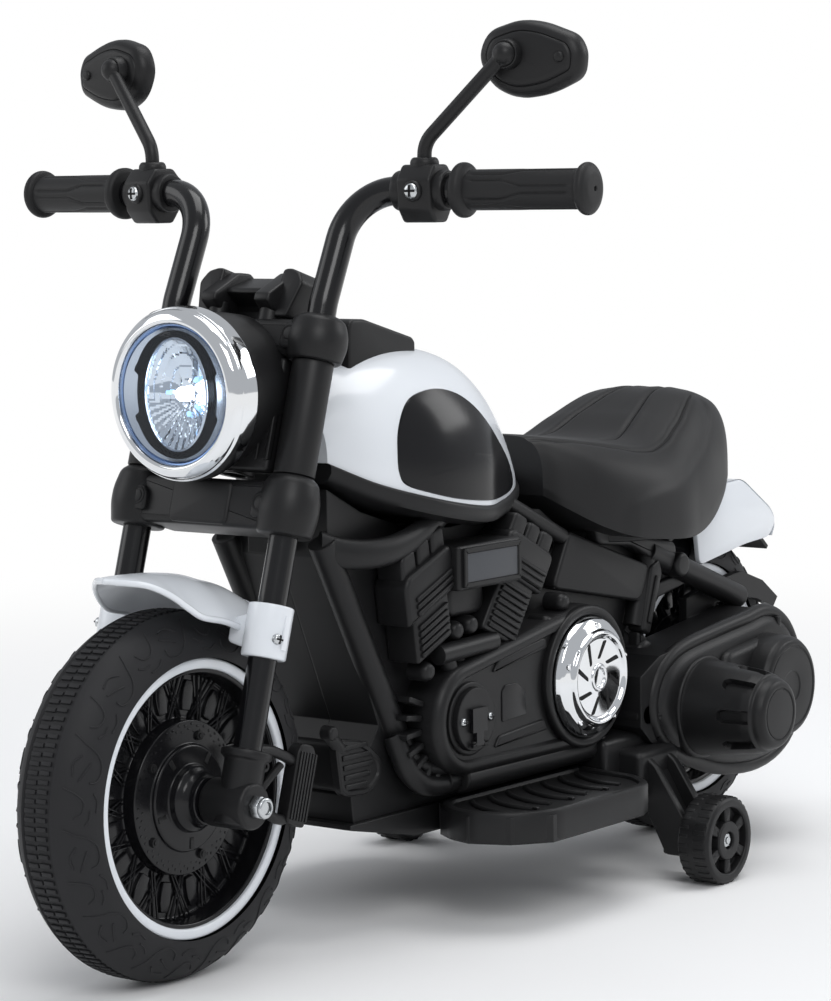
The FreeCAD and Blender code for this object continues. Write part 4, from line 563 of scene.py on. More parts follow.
clamp("lower_clamp_form", "lower_clamp", 166, 38, 183.5, 1.6)
clamp("upper_clamp_form", "upper_clamp", 276, 29, 290, 0.4)

# Headlight shell: a black moulded box with covers on the fork legs beside it and a round bucket in front,
# screwed to the clamps, and a plated bezel pressed on the bucket. The lamp looks straight ahead, so its
# shapes aren't leaned.
LAMP_HEIGHT = 361
LAMP_AT = (0, 0, LAMP_HEIGHT)
cover = turned(soft_line([(9.1, 204), (13, 204), (13, 276), (9.1, 276)], 0.8), leg_at, "z", 56)
nacelle = slab(soft_corners([(-47, 204), (47, 204), (47, 276), (-47, 276)], 3), -26, -16, 2.5, "xz")
rib = slab(soft_corners(rectangle(36.5, 211, 38.4, 266), 0.8), -27, -24, 0.6, "xz")
ledge = slab(soft_corners(rectangle(44, 211, 47, 266), 1), -27, -22, 0.8, "xz")
bucket_line = [(45.2, 47), (45.2, 34.2), (47, 34.2), (49, 36), (49, 62), (47, 78), (40, 84)]
bucket = turned(soft_line(bucket_line, 2, 4), LAMP_AT, "y", 96)
piece("headlight_nacelle", "fork", satin,
      leaned(both([cover, rib, ledge]) + [nacelle]) + [bucket], ["headlight_bucket"])
# Painted shade: a dark sheet in each slot between the rib and the ledge.
slot_shade = slab(soft_corners(rectangle(38.8, 212, 43.6, 265), 1.2), -26.3, -24, 0.2, "xz")
piece("nacelle_slots", "fork", dark, both(leaned([slot_shade])))
# Chrome: bright plating on moulded plastic, a clear mirror with hardly any blur.
chrome = material("chrome_plate", "e6e8ea", 0.06, metallic=1.0, blotch=0.02)
bezel = [(43.4, 34), (43.4, 19), (43.8, 15.4), (45, 14.1), (46.6, 14), (50.6, 16.2), (52.2, 18.6),
         (52.6, 20.6), (53.8, 21.2), (54.2, 25), (54.2, 34), (52.6, 36), (49.3, 36)]
piece("headlight_chrome", "fork", chrome, [turned(soft_line(bezel, 1.6, 4), LAMP_AT, "y", 128)],
      ["headlight_bezel"], 50)

# Lamp ring and reflector: a notched gloss black ring round an oval window, a silver surround behind it, and
# a reflector with facets. All are plastic, the last two with a vapour of metal on them, pressed in behind
# the lens.
WINDOW = (25.8, 35.2)
REFLECTOR = (26, 35.4)
REFLECTOR_STEPS = 30
REFLECTOR_DEPTH, REFLECTOR_BOWL = 30.4, 8.6


def ring_face(inner, outer, back_in, back_out, steps=120):
    """A band between two outlines, each a place for an angle, at two depths."""
    points, faces = [], []
    for i in range(steps):
        a = 2 * math.pi * i / steps
        for line, back in ((inner, back_in), (outer, back_out)):
            x, z = line(a)
            points.append((x, back, LAMP_HEIGHT + z))
    for i in range(steps):
        a, b = 2 * i, 2 * ((i + 1) % steps)
        faces.append((a, a + 1, b + 1, b))
    return points, faces


def oval(half_x, half_z):
    """An oval, as a place for each angle."""
    return lambda a: (half_x * math.cos(a), half_z * math.sin(a))


def notched(a):
    """The black ring's outer line: cut in at both sides, with a tab at each end of a cut."""
    x, z = 34.8 * math.cos(a), 40.6 * math.sin(a)
    side = abs(z)
    tab = math.exp(-((side - 15.5) / 2.2) ** 2)
    cut = 1 / (1 + math.exp((side - 12.6) / 0.5))
    share = 1 + 0.045 * tab - 0.095 * cut
    return (x * share, z)


inner_window = oval(*WINDOW)
ring_outer = ring_face(inner_window, notched, 19.6, 19.2, 240)
ring_wall = ring_face(notched, notched, 19.2, 22, 240)
ring_throat = ring_face(inner_window, oval(25.4, 34.8), 19.6, 25)
piece("lamp_black_ring", "fork", gloss, [ring_outer, ring_wall])
# Lamp silver: metal vapour on plastic, a bright grey with soft reflections.
silver = material("lamp_silver", "d4d6da", 0.24, metallic=0.85, blotch=0.03)
surround = ring_face(oval(25, 34.4), oval(43.6, 43.6), 21.8, 17.4)
lip = ring_face(oval(24.6, 34), inner_window, 18.6, 19.4)
piece("lamp_surround", "fork", silver, [surround, ring_throat, lip])
points, faces, index = [], [], {}
for i in range(-REFLECTOR_STEPS, REFLECTOR_STEPS + 1):
    for j in range(-REFLECTOR_STEPS, REFLECTOR_STEPS + 1):
        x, z = REFLECTOR[0] * i / REFLECTOR_STEPS, REFLECTOR[1] * j / REFLECTOR_STEPS
        spot = (x / REFLECTOR[0]) ** 2 + (z / REFLECTOR[1]) ** 2
        if spot > 1.08:
            continue
        depth = REFLECTOR_DEPTH - REFLECTOR_BOWL * min(spot, 1)
        if z < -4:
            ray = math.degrees(math.atan2(x, -z - 2))
            depth += 0.9 * abs((ray / 5) % 2 - 1)
        elif spot > 0.06:
            ray = math.degrees(math.atan2(z, x))
            depth += 1.5 * abs((ray / 36) % 2 - 1) + 0.5 * (int(spot * 4) % 2)
        index[(i, j)] = len(points)
        points.append((x, depth, LAMP_HEIGHT + z))
for (i, j), a in index.items():
    corners = [index.get(k) for k in ((i, j), (i + 1, j), (i + 1, j + 1), (i, j + 1))]
    if None not in corners:
        faces.append(tuple(corners))
piece("lamp_reflector", "fork", chrome, [(points, faces)], ["headlight_reflector"], 12)

# Lamp and lens: a white diode on a stem with small glowing specks of painted highlight round it, behind a
# thin domed lens of clear plastic whose edge looks faintly blue. The lens is held by the bezel.


def glow(name, colour, strength):
    """A surface that gives light of one colour."""
    made = bpy.data.materials.new(name)
    made.use_nodes = True
    node(made.node_tree, "Principled BSDF", {
        "Base Color": linear(colour), "Emission Color": linear(colour), "Emission Strength": strength})
    return made


def clear(name, colour, shine):
    """Thin clear plastic: mostly see-through, with a faint sheen."""
    made = bpy.data.materials.new(name)
    made.use_nodes = True
    tree = made.node_tree
    through = node(tree, "ShaderNodeBsdfTransparent", {"Color": linear(colour)})
    sheen = node(tree, "ShaderNodeBsdfGlossy", {"Roughness": 0.04})
    edge = node(tree, "ShaderNodeLayerWeight", {"Blend": shine})
    mix = node(tree, "ShaderNodeMixShader", {"Fac": edge["Fresnel"], 1: through["BSDF"], 2: sheen["BSDF"]})
    node(tree, "Material Output", {"Surface": mix["Shader"]})
    tree.nodes.remove(tree.nodes["Principled BSDF"])
    return made


# Lens plastic: clear polycarbonate, seen by its sheen alone. Lamp: a cold white diode. Round it glow faint
# blue specks of painted highlight.
lens_look = clear("lens_clear", "f2f8ff", 0.18)
rim_look = clear("lens_rim_blue", "c6d8f2", 0.2)
led_look = glow("lamp_white", "dcecff", 9.0)
painted_glint_look = glow("painted_glint_blue", "a9d2ff", 1.1)
bulb = [(0, 21.6), (2.6, 22), (4.2, 23.6), (4.6, 26), (4.6, 31)]
piece("lamp_bulb", "fork", led_look, [turned(soft_line(bulb, 1.5, 4), LAMP_AT, "y", 32)],
      ["headlight_lamp"])
# Painted highlights: small glowing blue-white specks round the diode.
glints = [tube([(x, 28, LAMP_HEIGHT + z), (x * 1.25, 27.4, LAMP_HEIGHT + z * 1.25)], 1.3, 10)
          for x, z in ((-9, 1), (-11.5, 0.5), (8.4, 8), (3, -11), (9, -7))]
piece("lamp_glints", "fork", painted_glint_look, glints)
dome = [(0, 15.2), (14, 15.4), (28, 16.2), (38, 17.2), (43, 18)]
piece("lamp_lens", "fork", lens_look, [turned(dome, LAMP_AT, "y", 64)], ["headlight_lens"])
piece("lamp_lens_rim", "fork", rim_look,
      [turned([(41, 19.6), (41.4, 18), (42.4, 16.8), (43.4, 16.8)], LAMP_AT, "y", 96)])

# Dash: a hollow black moulding over the upper clamp, screwed to it from below. Its top slopes forward into
# two prongs with a hollow between them, and a post stands under each prong.
prong = [(8, 303), (8, 333.4), (2, 336), (-8, 334), (-29, 316), (-29.4, 311.5), (-22, 307), (-4, 303)]
middle = [(8, 306), (8, 331.6), (2, 333.2), (-18, 321.6), (-19, 318.6), (-6, 313), (-2, 306)]
wing = [(24, 303), (24, 335), (29, 336), (37, 333.6), (42, 326), (36, 303)]
prong_form = slab(soft_corners(prong, 1.6), 15.6, 28, 1.8)
wing_form = moved(slab(soft_corners(wing, 2.4), -15, 8, 2, "xz"),
                  lambda x, y, s: (x, y - (336 - s) * 0.16, s))
hollow_face = slab(rectangle(-16, 304, 16, 318), -4, 2, 0.4, "xz")
posts = turned(soft_line([(7, 300), (6.4, 312), (0, 316)], 1), (21, -17, 0), "z", 32)
middle_form = slab(soft_corners(middle, 1.2), -18, 18, 0.8)
piece("dash_form", "fork", satin,
      leaned(both([prong_form, wing_form, posts]) + [middle_form, hollow_face]), ["dash_box"])

# Grips and bar clamps: rubber sleeves with a flange at both ends and waving grooves, pushed on the bent
# steel bars, and octagon blocks of black plastic that close round each bar with a screw and carry a
# mirror's stem.
BAR_CORNER = (60, 122.28, 483.44)
SWEEP = math.radians(6.85)
GRIP_START, GRIP_LENGTH, GRIP_RADIUS = 84, 78, 12.5
GROOVE_COUNT, GROOVE_SUNK, GROOVE_ANGLE = 9, 1.1, 0.07


def on_bar(out, back, high):
    """From a bar's own axes to the bike: along the grip, behind it and above it."""
    c, s = math.cos(SWEEP), math.sin(SWEEP)
    return (BAR_CORNER[0] + out * c - back * s, BAR_CORNER[1] + out * s + back * c, BAR_CORNER[2] + high)


def grip_surface():
    """The sleeve between the flanges. Its grooves sway to and fro and run out before its ends."""
    points = []
    rows, around = 78, 120
    for i in range(rows + 1):
        out = GRIP_START + GRIP_LENGTH * i / rows
        for k in range(around):
            a = 2 * math.pi * k / around
            radius = GRIP_RADIUS
            for n in range(GROOVE_COUNT):
                sway = 0.16 * (-1) ** n * max(-1, min(1, (out - 118) / 7))
                gap = (a - 2 * math.pi * n / GROOVE_COUNT - sway + math.pi) % (2 * math.pi) - math.pi
                ends = min(1, (out - 86) / 5, (160 - out) / 5)
                radius -= GROOVE_SUNK * max(0, ends) * math.exp(-(gap / GROOVE_ANGLE) ** 2)
            points.append((out, radius * math.cos(a), radius * math.sin(a)))
    return points, wrapped(rows + 1, around)


# Grip rubber: soft moulded rubber, a dull black with a fine grain.
rubber = material("grip_rubber", "1a1a1b", 0.52, grain=0.6, relief=0.08, blotch=0.05)
inner_line = [(9.05, 76), (15, 76), (17, 78), (17, 82), (14, 84.6), (12.2, 85.4)]
outer_line = [(12.2, 160.6), (14.6, 161.6), (16, 163.5), (16, 166), (14, 168), (9.6, 169.6), (1.6, 170),
              (1.5, 168)]
inner_flange = turned(soft_line(inner_line, 1.6, 4), (0, 0, 0), "x", 72)
outer_flange = turned(soft_line(outer_line, 1.4, 4), (0, 0, 0), "x", 72)
grip = [moved(m, on_bar) for m in (inner_flange, grip_surface(), outer_flange)]
piece("grip_rubbers", "fork", rubber, both(grip), ["grips"])
octagon = [(-14, -11), (-7, -19.6), (7, -19.6), (15.4, -8), (15.4, 8), (8, 16), (-8, 16), (-15.4, 7)]
block_form = slab(soft_corners(octagon, 2), 40, 64, 2)
collar = turned(soft_line([(9.05, 33), (12, 33), (12.6, 35), (12.6, 68), (11.6, 70), (9.05, 70)], 1),
                (0, 0, 0), "x", 48)
stem_socket = turned(soft_line([(9, 0), (9, 18), (7.4, 20.4), (4.5, 20.4)], 1.4), (52, 0, 0), "z", 40)
screw_pad = turned(soft_line([(0, -17.4), (5.6, -17.4), (6.6, -15.6), (6.6, -10)], 1), (52, 0, 0), "y", 32)
piece("bar_clamp_blocks", "fork", satin,
      both([moved(m, on_bar) for m in (block_form, collar, stem_socket, screw_pad)]), ["bar_clamps"])

# Mirrors: rounded black shells with a raised back panel and a boss that clips on the ball of a steel stem.
# A thin plate of silvered plastic is set into the rider's side.
MIRROR_OUTLINE = [(-24.2, -1), (-17.6, 15), (5, 21.4), (21, 19.4), (43, 11), (48.4, 1), (46.8, -15),
                  (25, -24.6), (2.8, -27.4), (-15.4, -19)]
MIRROR_BALL = (160.63, 145.48, 565.44)
TOE = math.radians(9)


def toed(x, y, z):
    """From a mirror's own axes, about its ball, to the bike."""
    c, s = math.cos(TOE), math.sin(TOE)
    return (MIRROR_BALL[0] + x * c - y * s, MIRROR_BALL[1] + x * s + y * c, MIRROR_BALL[2] + z)


SIDES = (("left", lambda m: m), ("right", flipped))
# Mirror plate: silvered acrylic, a true mirror.
mirror = material("mirror_plate", "eff1f3", 0.03, metallic=1.0)
mirror_line = soft_corners(MIRROR_OUTLINE, 9, 5)
shell = stack(mirror_line, [(19.2, 2.6), (19.4, 1.2), (18.8, 0.3), (17, 0), (13, 0.2), (9.6, 1.6), (7.6, 4),
                            (6.9, 6.2), (7.3, 6.8), (6.4, 7.4), (5.8, 8.6), (5.5, 11)], "xz")
boss = turned(soft_line([(7.7, -1), (8.5, -1), (9.2, 2), (9.6, 6), (10.6, 9)], 1, 4), (0, 0, 0), "y", 40)
nub = turned(soft_line([(0, 3.4), (2.6, 3.6), (3.4, 5), (3.6, 7)], 1), (34, 0, -2.5), "y", 24)
plate = stack(inset(mirror_line, 2.6), [(17.6, 0.2), (19.5, 0), (19.6, 0.4)], "xz")
for side, change in SIDES:
    parts = [change(moved(m, toed)) for m in (shell, boss, nub)]
    piece("mirror_shell_" + side, "mirror_" + side, satin, parts, ["mirror_head_" + side])
    piece("mirror_plate_" + side, "mirror_" + side, mirror, [change(moved(plate, toed))],
          ["mirror_glass_" + side])

# Front fender: a short white visor of moulded plastic with a rolled edge. A sleeve under each side slides
# on a fork leg, and a screw through it holds the fender. A row gives its place, crest, half width and edge
# height.
FENDER = [(-43, 138.4, 5, 138.2), (-40, 139, 12, 137.8), (-33, 139.4, 21.5, 136), (-24, 139.4, 30.5, 130),
          (-14, 139, 36, 121.5), (-4, 138.4, 38.5, 115), (14, 136, 40, 110.5), (28, 132, 41, 105),
          (48, 126, 40, 98), (72, 114, 36, 90)]
FENDER_THICK = 3
FENDER_COLUMNS = 16


def sheet_of(grid):
    """A quad mesh from a grid of points."""
    rows, columns = len(grid), len(grid[0])
    points = [p for row in grid for p in row]
    faces = []
    for i in range(rows - 1):
        for j in range(columns - 1):
            a = i * columns + j
            faces.append((a, a + 1, a + columns + 1, a + columns))
    return points, faces


def visor(lift):
    """The fender's upper face, or a face that lies below it by an amount."""
    grid = []
    for back, crest, half, edge in curve_through(FENDER, 6):
        row = []
        for k in range(-FENDER_COLUMNS, FENDER_COLUMNS + 1):
            t = k / FENDER_COLUMNS
            row.append((t * (half - lift / 3), back,
                        AXLE_HEIGHT + crest - (crest - edge) * abs(t) ** 2.2 - lift))
        grid.append(row)
    return grid


upper, under = visor(0), visor(FENDER_THICK)
edge_line = ([row[0] for row in upper] + upper[-1][1:] + [row[-1] for row in reversed(upper)][1:]
             + list(reversed(upper[0]))[1:-1])
rolled = tube([(x, y, z - 1.5) for x, y, z in edge_line + edge_line[:1]], 2.1, 10)
sleeve = turned(soft_line([(9.1, 90), (14, 90), (14.2, 123), (9.1, 123)], 1.6, 4), leg_at, "z", 56)
arm = slab(soft_corners([(33, 98), (52, 94), (52, 119), (33, 113)], 3), -19, 4, 2.4, "xz")
seam = slab(rectangle(73.2, 96, 75.4, 117), -16.5, -11.5, 0.8, "xz")
piece("fender_visor", "fork", white,
      [sheet_of(upper), sheet_of([list(reversed(row)) for row in under]), rolled]
      + both(leaned([sleeve, arm, seam])), ["front_fender"])

# Fork fasteners: nylon-insert nuts on the axle, and pan-head cross screws in the fender's sleeves and the
# bar clamps. All are rolled steel with a thin coat of zinc.
BAR_SCREW = (52, -17.2, 0, 4.8, "y", -1)
SLEEVE_SCREW = (LEG + 13, -19, 102, 3.6, "x", 1)


def cross_screw(x, y, z, radius, along, sign):
    """A pan-head screw with a cross recess, looking along an axis."""
    head = [(0, 2.4 * sign), (radius * 0.5, 2.2 * sign), (radius * 0.85, 1.5 * sign), (radius, 0.2 * sign),
            (radius, -1.5 * sign)]
    return turned(soft_line(head, 0.5), (x, y, z), along, 28)


def recess(x, y, z, radius, along, sign):
    """Two dark bars of painted shade in a screw's cross recess, standing a hair above its head."""
    bars = []
    for a, b in ((0.75, 0.16), (0.16, 0.75)):
        u, v, w = radius * a, radius * b, 2.55 * sign
        low, high = min(0, w), max(0, w)
        box_at = {"x": ((x + low, y - u, z - v), (x + high, y + u, z + v)),
                  "y": ((x - u, y + low, z - v), (x + u, y + high, z + v))}[along]
        bars.append(block(*box_at, 0.1))
    return bars


# Zinc: a bright thin coat on steel, silvery and a little blurred.
zinc = material("zinc_steel", "c3c6c8", 0.26, metallic=1.0, grain=0.4, relief=0.02)
collar_line = [(4.1, 80.2), (6.6, 80.2), (6.4, 82.6), (5.2, 83.2), (4.1, 83.2)]
nut = [slab(soft_corners(hexagon(7.6, (-OFFSET, 0)), 0.6, 2), 74, 80.4, 0.7),
       turned(soft_line(collar_line, 0.5), (0, -OFFSET, 0), "x", 32)]
bar_screw = moved(cross_screw(*BAR_SCREW), on_bar)
sleeve_screw = moved(cross_screw(*SLEEVE_SCREW), lean)
piece("fork_screws", "fork", zinc, both(leaned(nut) + [bar_screw, sleeve_screw]),
      ["fork_fasteners"])
# Painted shade: dark bars in the cross recesses of the fork's screws.
piece("fork_screw_slots", "fork", dark,
      both([moved(m, on_bar) for m in recess(*BAR_SCREW)] + leaned(recess(*SLEEVE_SCREW))))

# Tank: a white teardrop shell of moulded plastic, held from below by a black tray with a rolled rim. A thin
# gloss black panel is stuck on each side. A row gives its place, half width, foot and top.
TANK = [(120, 38, 197, 235), (150, 57, 182, 256), (195, 73, 169, 266), (243, 73, 161, 264),
        (279, 60, 161, 250), (309, 46, 162.5, 224), (335, 31, 165, 191), (354, 16, 167, 172)]
TANK_ROUND, TANK_STEPS = 0.8, 8
TRAY_SECTION = [(0.0, -13.0), (0.8, -13.0), (0.95, -10.5), (1.0, -6.0), (1.0, -1.5), (0.985, -0.3),
                (0.95, 0.4), (0.9, 0.4)]
TRAY_LIP = 3
PANEL = [(207, 354.5), (186, 351.5), (174, 343.5), (165.5, 329), (163, 312), (164, 302), (168, 296),
         (181, 291), (210, 284), (250, 279.4), (283, 279.4), (305, 281.4), (311, 285.5), (308, 292),
         (298, 301.5), (278, 315.5), (257, 330.5), (241, 342.8), (226, 350.8)]
PANEL_STEPS = 6
PANEL_LIFT, PANEL_SUNK = 0.9, -0.4


def arch(half, foot, top, roundness, steps):
    """A flat-footed arch: x and height from one foot over the crown to the other."""
    line = []
    for i in range(steps + 1):
        a = math.pi * i / steps
        c, s = math.cos(a), max(0, math.sin(a))
        line.append((math.copysign(half * abs(c) ** roundness, c), foot + (top - foot) * s ** roundness))
    return line


def end_faces(first, last):
    """Flat faces that close the two ends of a sheet."""
    return [(list(row), [tuple(range(len(row)))]) for row in (first, last)]


tank_rows = curve_through(TANK, TANK_STEPS)
tank_grid = [[(x, back, AXLE_HEIGHT + z) for x, z in arch(half, foot, top, TANK_ROUND, 96)]
             for back, half, foot, top in tank_rows]
tank = piece("tank_form", "frame", white,
             [sheet_of(tank_grid)] + end_faces(tank_grid[0][::-1], tank_grid[-1]), ["tank_shell"])
tray_grid = []
for back, half, foot, top in tank_rows:
    rim = half + TRAY_LIP
    side = [(rim * share if share < 0.9 else rim - (1 - share) * 60, foot + z) for share, z in TRAY_SECTION]
    row = [(x, back, AXLE_HEIGHT + z) for x, z in side]
    tray_grid.append([(-x, y, z) for x, y, z in reversed(row[1:])] + row)
piece("tank_rim", "frame", satin,
      [sheet_of(tray_grid)] + end_faces(tray_grid[0], tray_grid[-1][::-1]), ["tank_tray"])
panel_round = curve_through([(y, z, 0) for y, z in PANEL[-2:] + PANEL + PANEL[:3]], PANEL_STEPS)
panel_line = [(y, z) for y, z, _ in panel_round[2 * PANEL_STEPS:(len(PANEL) + 2) * PANEL_STEPS]]
skin = BVHTree.FromObject(tank, bpy.context.evaluated_depsgraph_get())


def on_tank(back, high):
    """The point and direction of the tank's left face at a place seen from the side."""
    spot, normal, _, _ = skin.ray_cast(Vector((0.3, (back - AXLE_BACK) / 1000, high / 1000)),
                                       Vector((-1, 0, 0)))
    return spot, normal if normal.x > 0 else -normal


middle_y = sum(p[0] for p in panel_line) / len(panel_line)
middle_z = sum(p[1] for p in panel_line) / len(panel_line)
panel_rows = []
for share in [1.02, 1.0] + [1 - 0.08 * k for k in range(1, 12)] + [0.0]:
    row = []
    for y, z in panel_line:
        back, high = middle_y + (y - middle_y) * share, middle_z + (z - middle_z) * share
        spot, normal = on_tank(back, high)
        lift = (PANEL_SUNK if share > 1.01 else PANEL_LIFT) / 1000
        p = (spot + normal * lift) * 1000
        row.append((p.x, p.y + AXLE_BACK, p.z))
    panel_rows.append(row + row[:1])
piece("tank_panels", "frame", gloss, both([sheet_of(panel_rows)]))

# Console and start button: a black moulded box on the tank that slopes back from its crest, with a low
# dished button of red plastic which sinks into it on a spring when pressed.
console_side = soft_corners([(158, 352), (158, 398), (162, 401.4), (175, 401), (226, 387), (229, 384),
                             (229, 352)], 2.5)
piece("console_form", "frame", satin, [slab(console_side, -27, 27, 2.2)], ["console"])
cap = turned(soft_line([(0, 389), (5.4, 389.2), (6.4, 389.6), (7.4, 389), (7.6, 386)], 0.6, 3),
             (0, 218, 0), "z", 48)
# Button plastic: dyed right through, a dark red with a soft gloss.
button_red = material("button_red", "5c1513", 0.32, grain=1.5, relief=0.03, coat=0.2)
piece("start_cap", "button", button_red, [cap], ["start_button"])

# Seat: a crowned saddle of foam under a thin synthetic leather, with a raised rear, sewn lines over the
# hump and a soft step along each side. It fills the space of its CAD solid and is screwed to the base.
SEAT = [(-214, 38, 156, 197), (-205, 52, 147, 197), (-186, 69, 134, 195), (-157, 80, 124, 192),
        (-112, 85, 119, 189), (-76, 78, 119, 204), (-40, 68, 127, 218), (-8, 57, 142, 217),
        (14, 44, 151, 206), (31, 26, 152, 184)]
SEAT_ROUND = 0.55
INNER_SEAM = [(428, 36), (450, 33), (470, 29), (492, 25), (513, 20), (530, 16), (560, 12)]
OUTER_SEAM = [(356, 24), (372, 38), (394, 48), (412, 55), (435, 61), (457, 63), (481, 61), (507, 55),
              (527, 48), (548, 39)]
STEP_LINE = [(400, 256), (408, 262), (425, 268), (452, 273), (483, 280.5), (520, 295), (538, 309),
             (552, 324)]
SEAMS = ((INNER_SEAM, 440, 552, 556), (OUTER_SEAM, 366, 540, 545))
SEAM_DEPTH, SEAM_SWELL, SEAM_FADE = 1.4, 0.5, 14
STEP_OUT, LIP_IN = 1.6, 2.0
SEAM_SHADE_STEPS, SEAM_SHADE_RADIUS = 40, 0.8


def read_line(line, place):
    """What a line of (place, value) pairs says at a place."""
    return float(np.interp(place, [p[0] for p in line], [p[1] for p in line]))


def fade(place, start, stop, width):
    """One between two places, falling to zero over a width outside them."""
    return max(0.0, min(1.0, (place - start) / width + 1, (stop - place) / width + 1))


seat_rows = []
for back, half, foot, top in curve_through(SEAT, 16):
    seat_rows.append([Vector((x, back + WHEELBASE, AXLE_HEIGHT + z))
                      for x, z in arch(half, foot, top, SEAT_ROUND, 240)])
seat_grid = []
for i, row in enumerate(seat_rows):
    before, after = seat_rows[max(i - 1, 0)], seat_rows[min(i + 1, len(seat_rows) - 1)]
    line = []
    for k, p in enumerate(row):
        along = after[k] - before[k]
        across = row[min(k + 1, len(row) - 1)] - row[max(k - 1, 0)]
        normal = along.cross(across)
        normal = normal.normalized() if normal.length > 1e-9 else Vector((0, 0, 1))
        if normal.dot(p - Vector((0, p.y, AXLE_HEIGHT + 150))) < 0:
            normal = -normal
        move = 0.0
        for seam, start, stop, _ in SEAMS:
            gap, near = abs(p.x) - read_line(seam, p.y), fade(p.y, start, stop, SEAM_FADE)
            move -= SEAM_DEPTH * near * math.exp(-(gap / 2) ** 2)
            move += SEAM_SWELL * near * math.exp(-((abs(gap) - 5) / 4) ** 2)
        below = read_line(STEP_LINE, p.y) - p.z
        step = 1 / (1 + math.exp(-below / 1.8))
        move += STEP_OUT * step * fade(p.y, 414, 600, SEAM_FADE)
        lip = p.z - row[0].z
        move -= LIP_IN * math.exp(-((lip - 1.5) / 2.0) ** 2)
        line.append(tuple(p + normal * move))
    seat_grid.append(line)
flat_foot = [[row[0], row[-1]] for row in seat_grid]
# Seat cover: PVC leather with a pressed grain, black with broad soft highlights.
leather = material("seat_leather", "1a1a1b", 0.5, grain=1.1, relief=0.09, blotch=0.06)
saddle = piece("saddle", "frame", leather,
               [sheet_of(seat_grid), sheet_of(flat_foot)] + end_faces(seat_grid[0][::-1], seat_grid[-1]),
               ["seat_pad"], 60)
cover = BVHTree.FromObject(saddle, bpy.context.evaluated_depsgraph_get())


def seam_shade_line(seam, start, stop, side):
    """A fine dark line of painted shade along the bottom of a seam's groove on the saddle's top."""
    path = []
    for k in range(SEAM_SHADE_STEPS + 1):
        back = start + (stop - start) * k / SEAM_SHADE_STEPS
        x = side * read_line(seam, back)
        spot, _, _, _ = cover.ray_cast(Vector((x / 1000, (back - AXLE_BACK) / 1000, 0.5)),
                                       Vector((0, 0, -1)))
        path.append((x, back, spot.z * 1000))
    return tube(path, SEAM_SHADE_RADIUS, 8)


# Painted shade: a dark line in each seam's groove.
seam_shade_lines = [seam_shade_line(seam, start, stop, side) for seam, start, _, stop in SEAMS for side in (-1, 1)]
piece("seat_threads", "frame", dark, seam_shade_lines)

# Seat base, side boxes, stays and struts: satin black mouldings under the saddle. They are screwed to the
# body shells and carry the saddle's load down to the rear arms.
plate_low = [(40, 404), (66, 424), (76, 460), (64, 500), (52, 524)]
plate_plan = plate_low + [(-x, y) for x, y in reversed(plate_low)]
piece("seat_plate", "frame", satin,
      [slab(soft_corners(plate_plan, 8), 233.9, 242.6, 1.6, "xy")], ["seat_base"])
side_box = slab(soft_corners([(347, 208), (368, 246.5), (470, 212), (457, 187)], 8, 6), 42, 53.5, 2.6)
stay_cap = turned(soft_line([(0, 59.4), (7, 59.4), (9, 57.4), (9, 44)], 1.2), (0, 505, 209), "x", 32)
support = slab(soft_corners([(404, 233), (398, 250), (440, 238), (503, 226), (505, 209), (497, 205),
                             (446, 228)], 5), 42, 54, 3)
strut = slab(soft_corners([(455, 166), (466, 162), (483, 206), (479, 216), (468, 212)], 3), 42, 55.4, 2.4)
strut_rib = slab(soft_corners([(461, 172), (465, 170), (477, 203), (473, 205)], 1.5), 54, 57, 1)
strut_foot = slab(soft_corners([(452, 126), (462, 120), (468, 160), (456, 166)], 3), 42, 52, 2.4)
strut_boss = turned(soft_line([(0, 56), (7, 55), (9.6, 52), (10, 42)], 1.6, 4), (0, 463, 150), "x", 36)
cross_bar = slab(soft_corners([(478, 184), (552, 196), (552, 204), (478, 196)], 3), 41, 47, 1.6)
piece("side_mouldings", "frame", satin,
      both([side_box, stay_cap, support, strut, strut_rib, strut_foot, cross_bar, strut_boss]))

# Front of the body: a louvred panel on each side of a closed nose, with a small knob, and two elbow pipes
# that run back into a straight one like an exhaust. All are black mouldings clipped to the body shells.
louvre_line = soft_corners([(118, 136), (148, 131), (165, 118), (167, 106), (154, 95), (124, 97)], 9, 5)
louvre = stack(louvre_line, [(36, 0), (41.4, 0), (42.6, 1.2), (42.6, 3.4), (41.2, 4.4)])
slats = [slab(soft_corners(rectangle(128 - k * 0.8, 101 + 6.4 * k, 157 - abs(k - 2) * 3.2,
                                     104.6 + 6.4 * k), 1.4), 40.6, 42.7, 0.7)
         for k in range(5)]
knob = turned(soft_line([(0, 47), (3.4, 47), (4.6, 45.4), (4.8, 38)], 1), (0, 112, 141), "x", 28)
knob_stem = tube([(40, 112, 141), (40, 126, 128)], 4.2, 20)
nose_box = slab(soft_corners([(127, 132), (148, 129), (164, 117), (166, 106), (154, 97), (128, 99)], 6),
                -38, 38, 2)
piece("body_louvres", "frame", satin, both([louvre, *slats, knob, knob_stem]) + [nose_box])
elbow = curve_through([(44, 176, 130), (48, 178, 118.5), (51, 182, 107), (53, 195, 96.4),
                       (53.5, 211, 93.4), (54, 229, 93)], 8)
inner_elbow = curve_through([(46, 186, 128), (50, 190, 115), (54, 200, 106.6), (57, 214, 104),
                             (57, 230, 103.6)], 8)
elbows = [tube(elbow, 7.4, 24), tube(inner_elbow, 4, 16)]
pipe = turned(soft_line([(0, 227.6), (8.6, 227.8), (9.8, 229), (9.8, 391), (7.6, 394.6), (0, 395)], 1, 4),
              (58, 0, 94.6), "y", 40)
piece("exhaust_pipes", "frame", satin, both([*elbows, pipe]))

# Engine: a hollow black moulding in the form of two leaning cylinders with fins, rocker caps and push-rod
# tubes, a plate box between the heads, and a duct along the tank. It is screwed to the body shell with the
# case below it.
FRONT_CRANK = (204.3, 120.3)
REAR_CRANK = (235.6, 141.3)
PORT_AT = (0, 229, 136)
FIN_STEP = 4.6


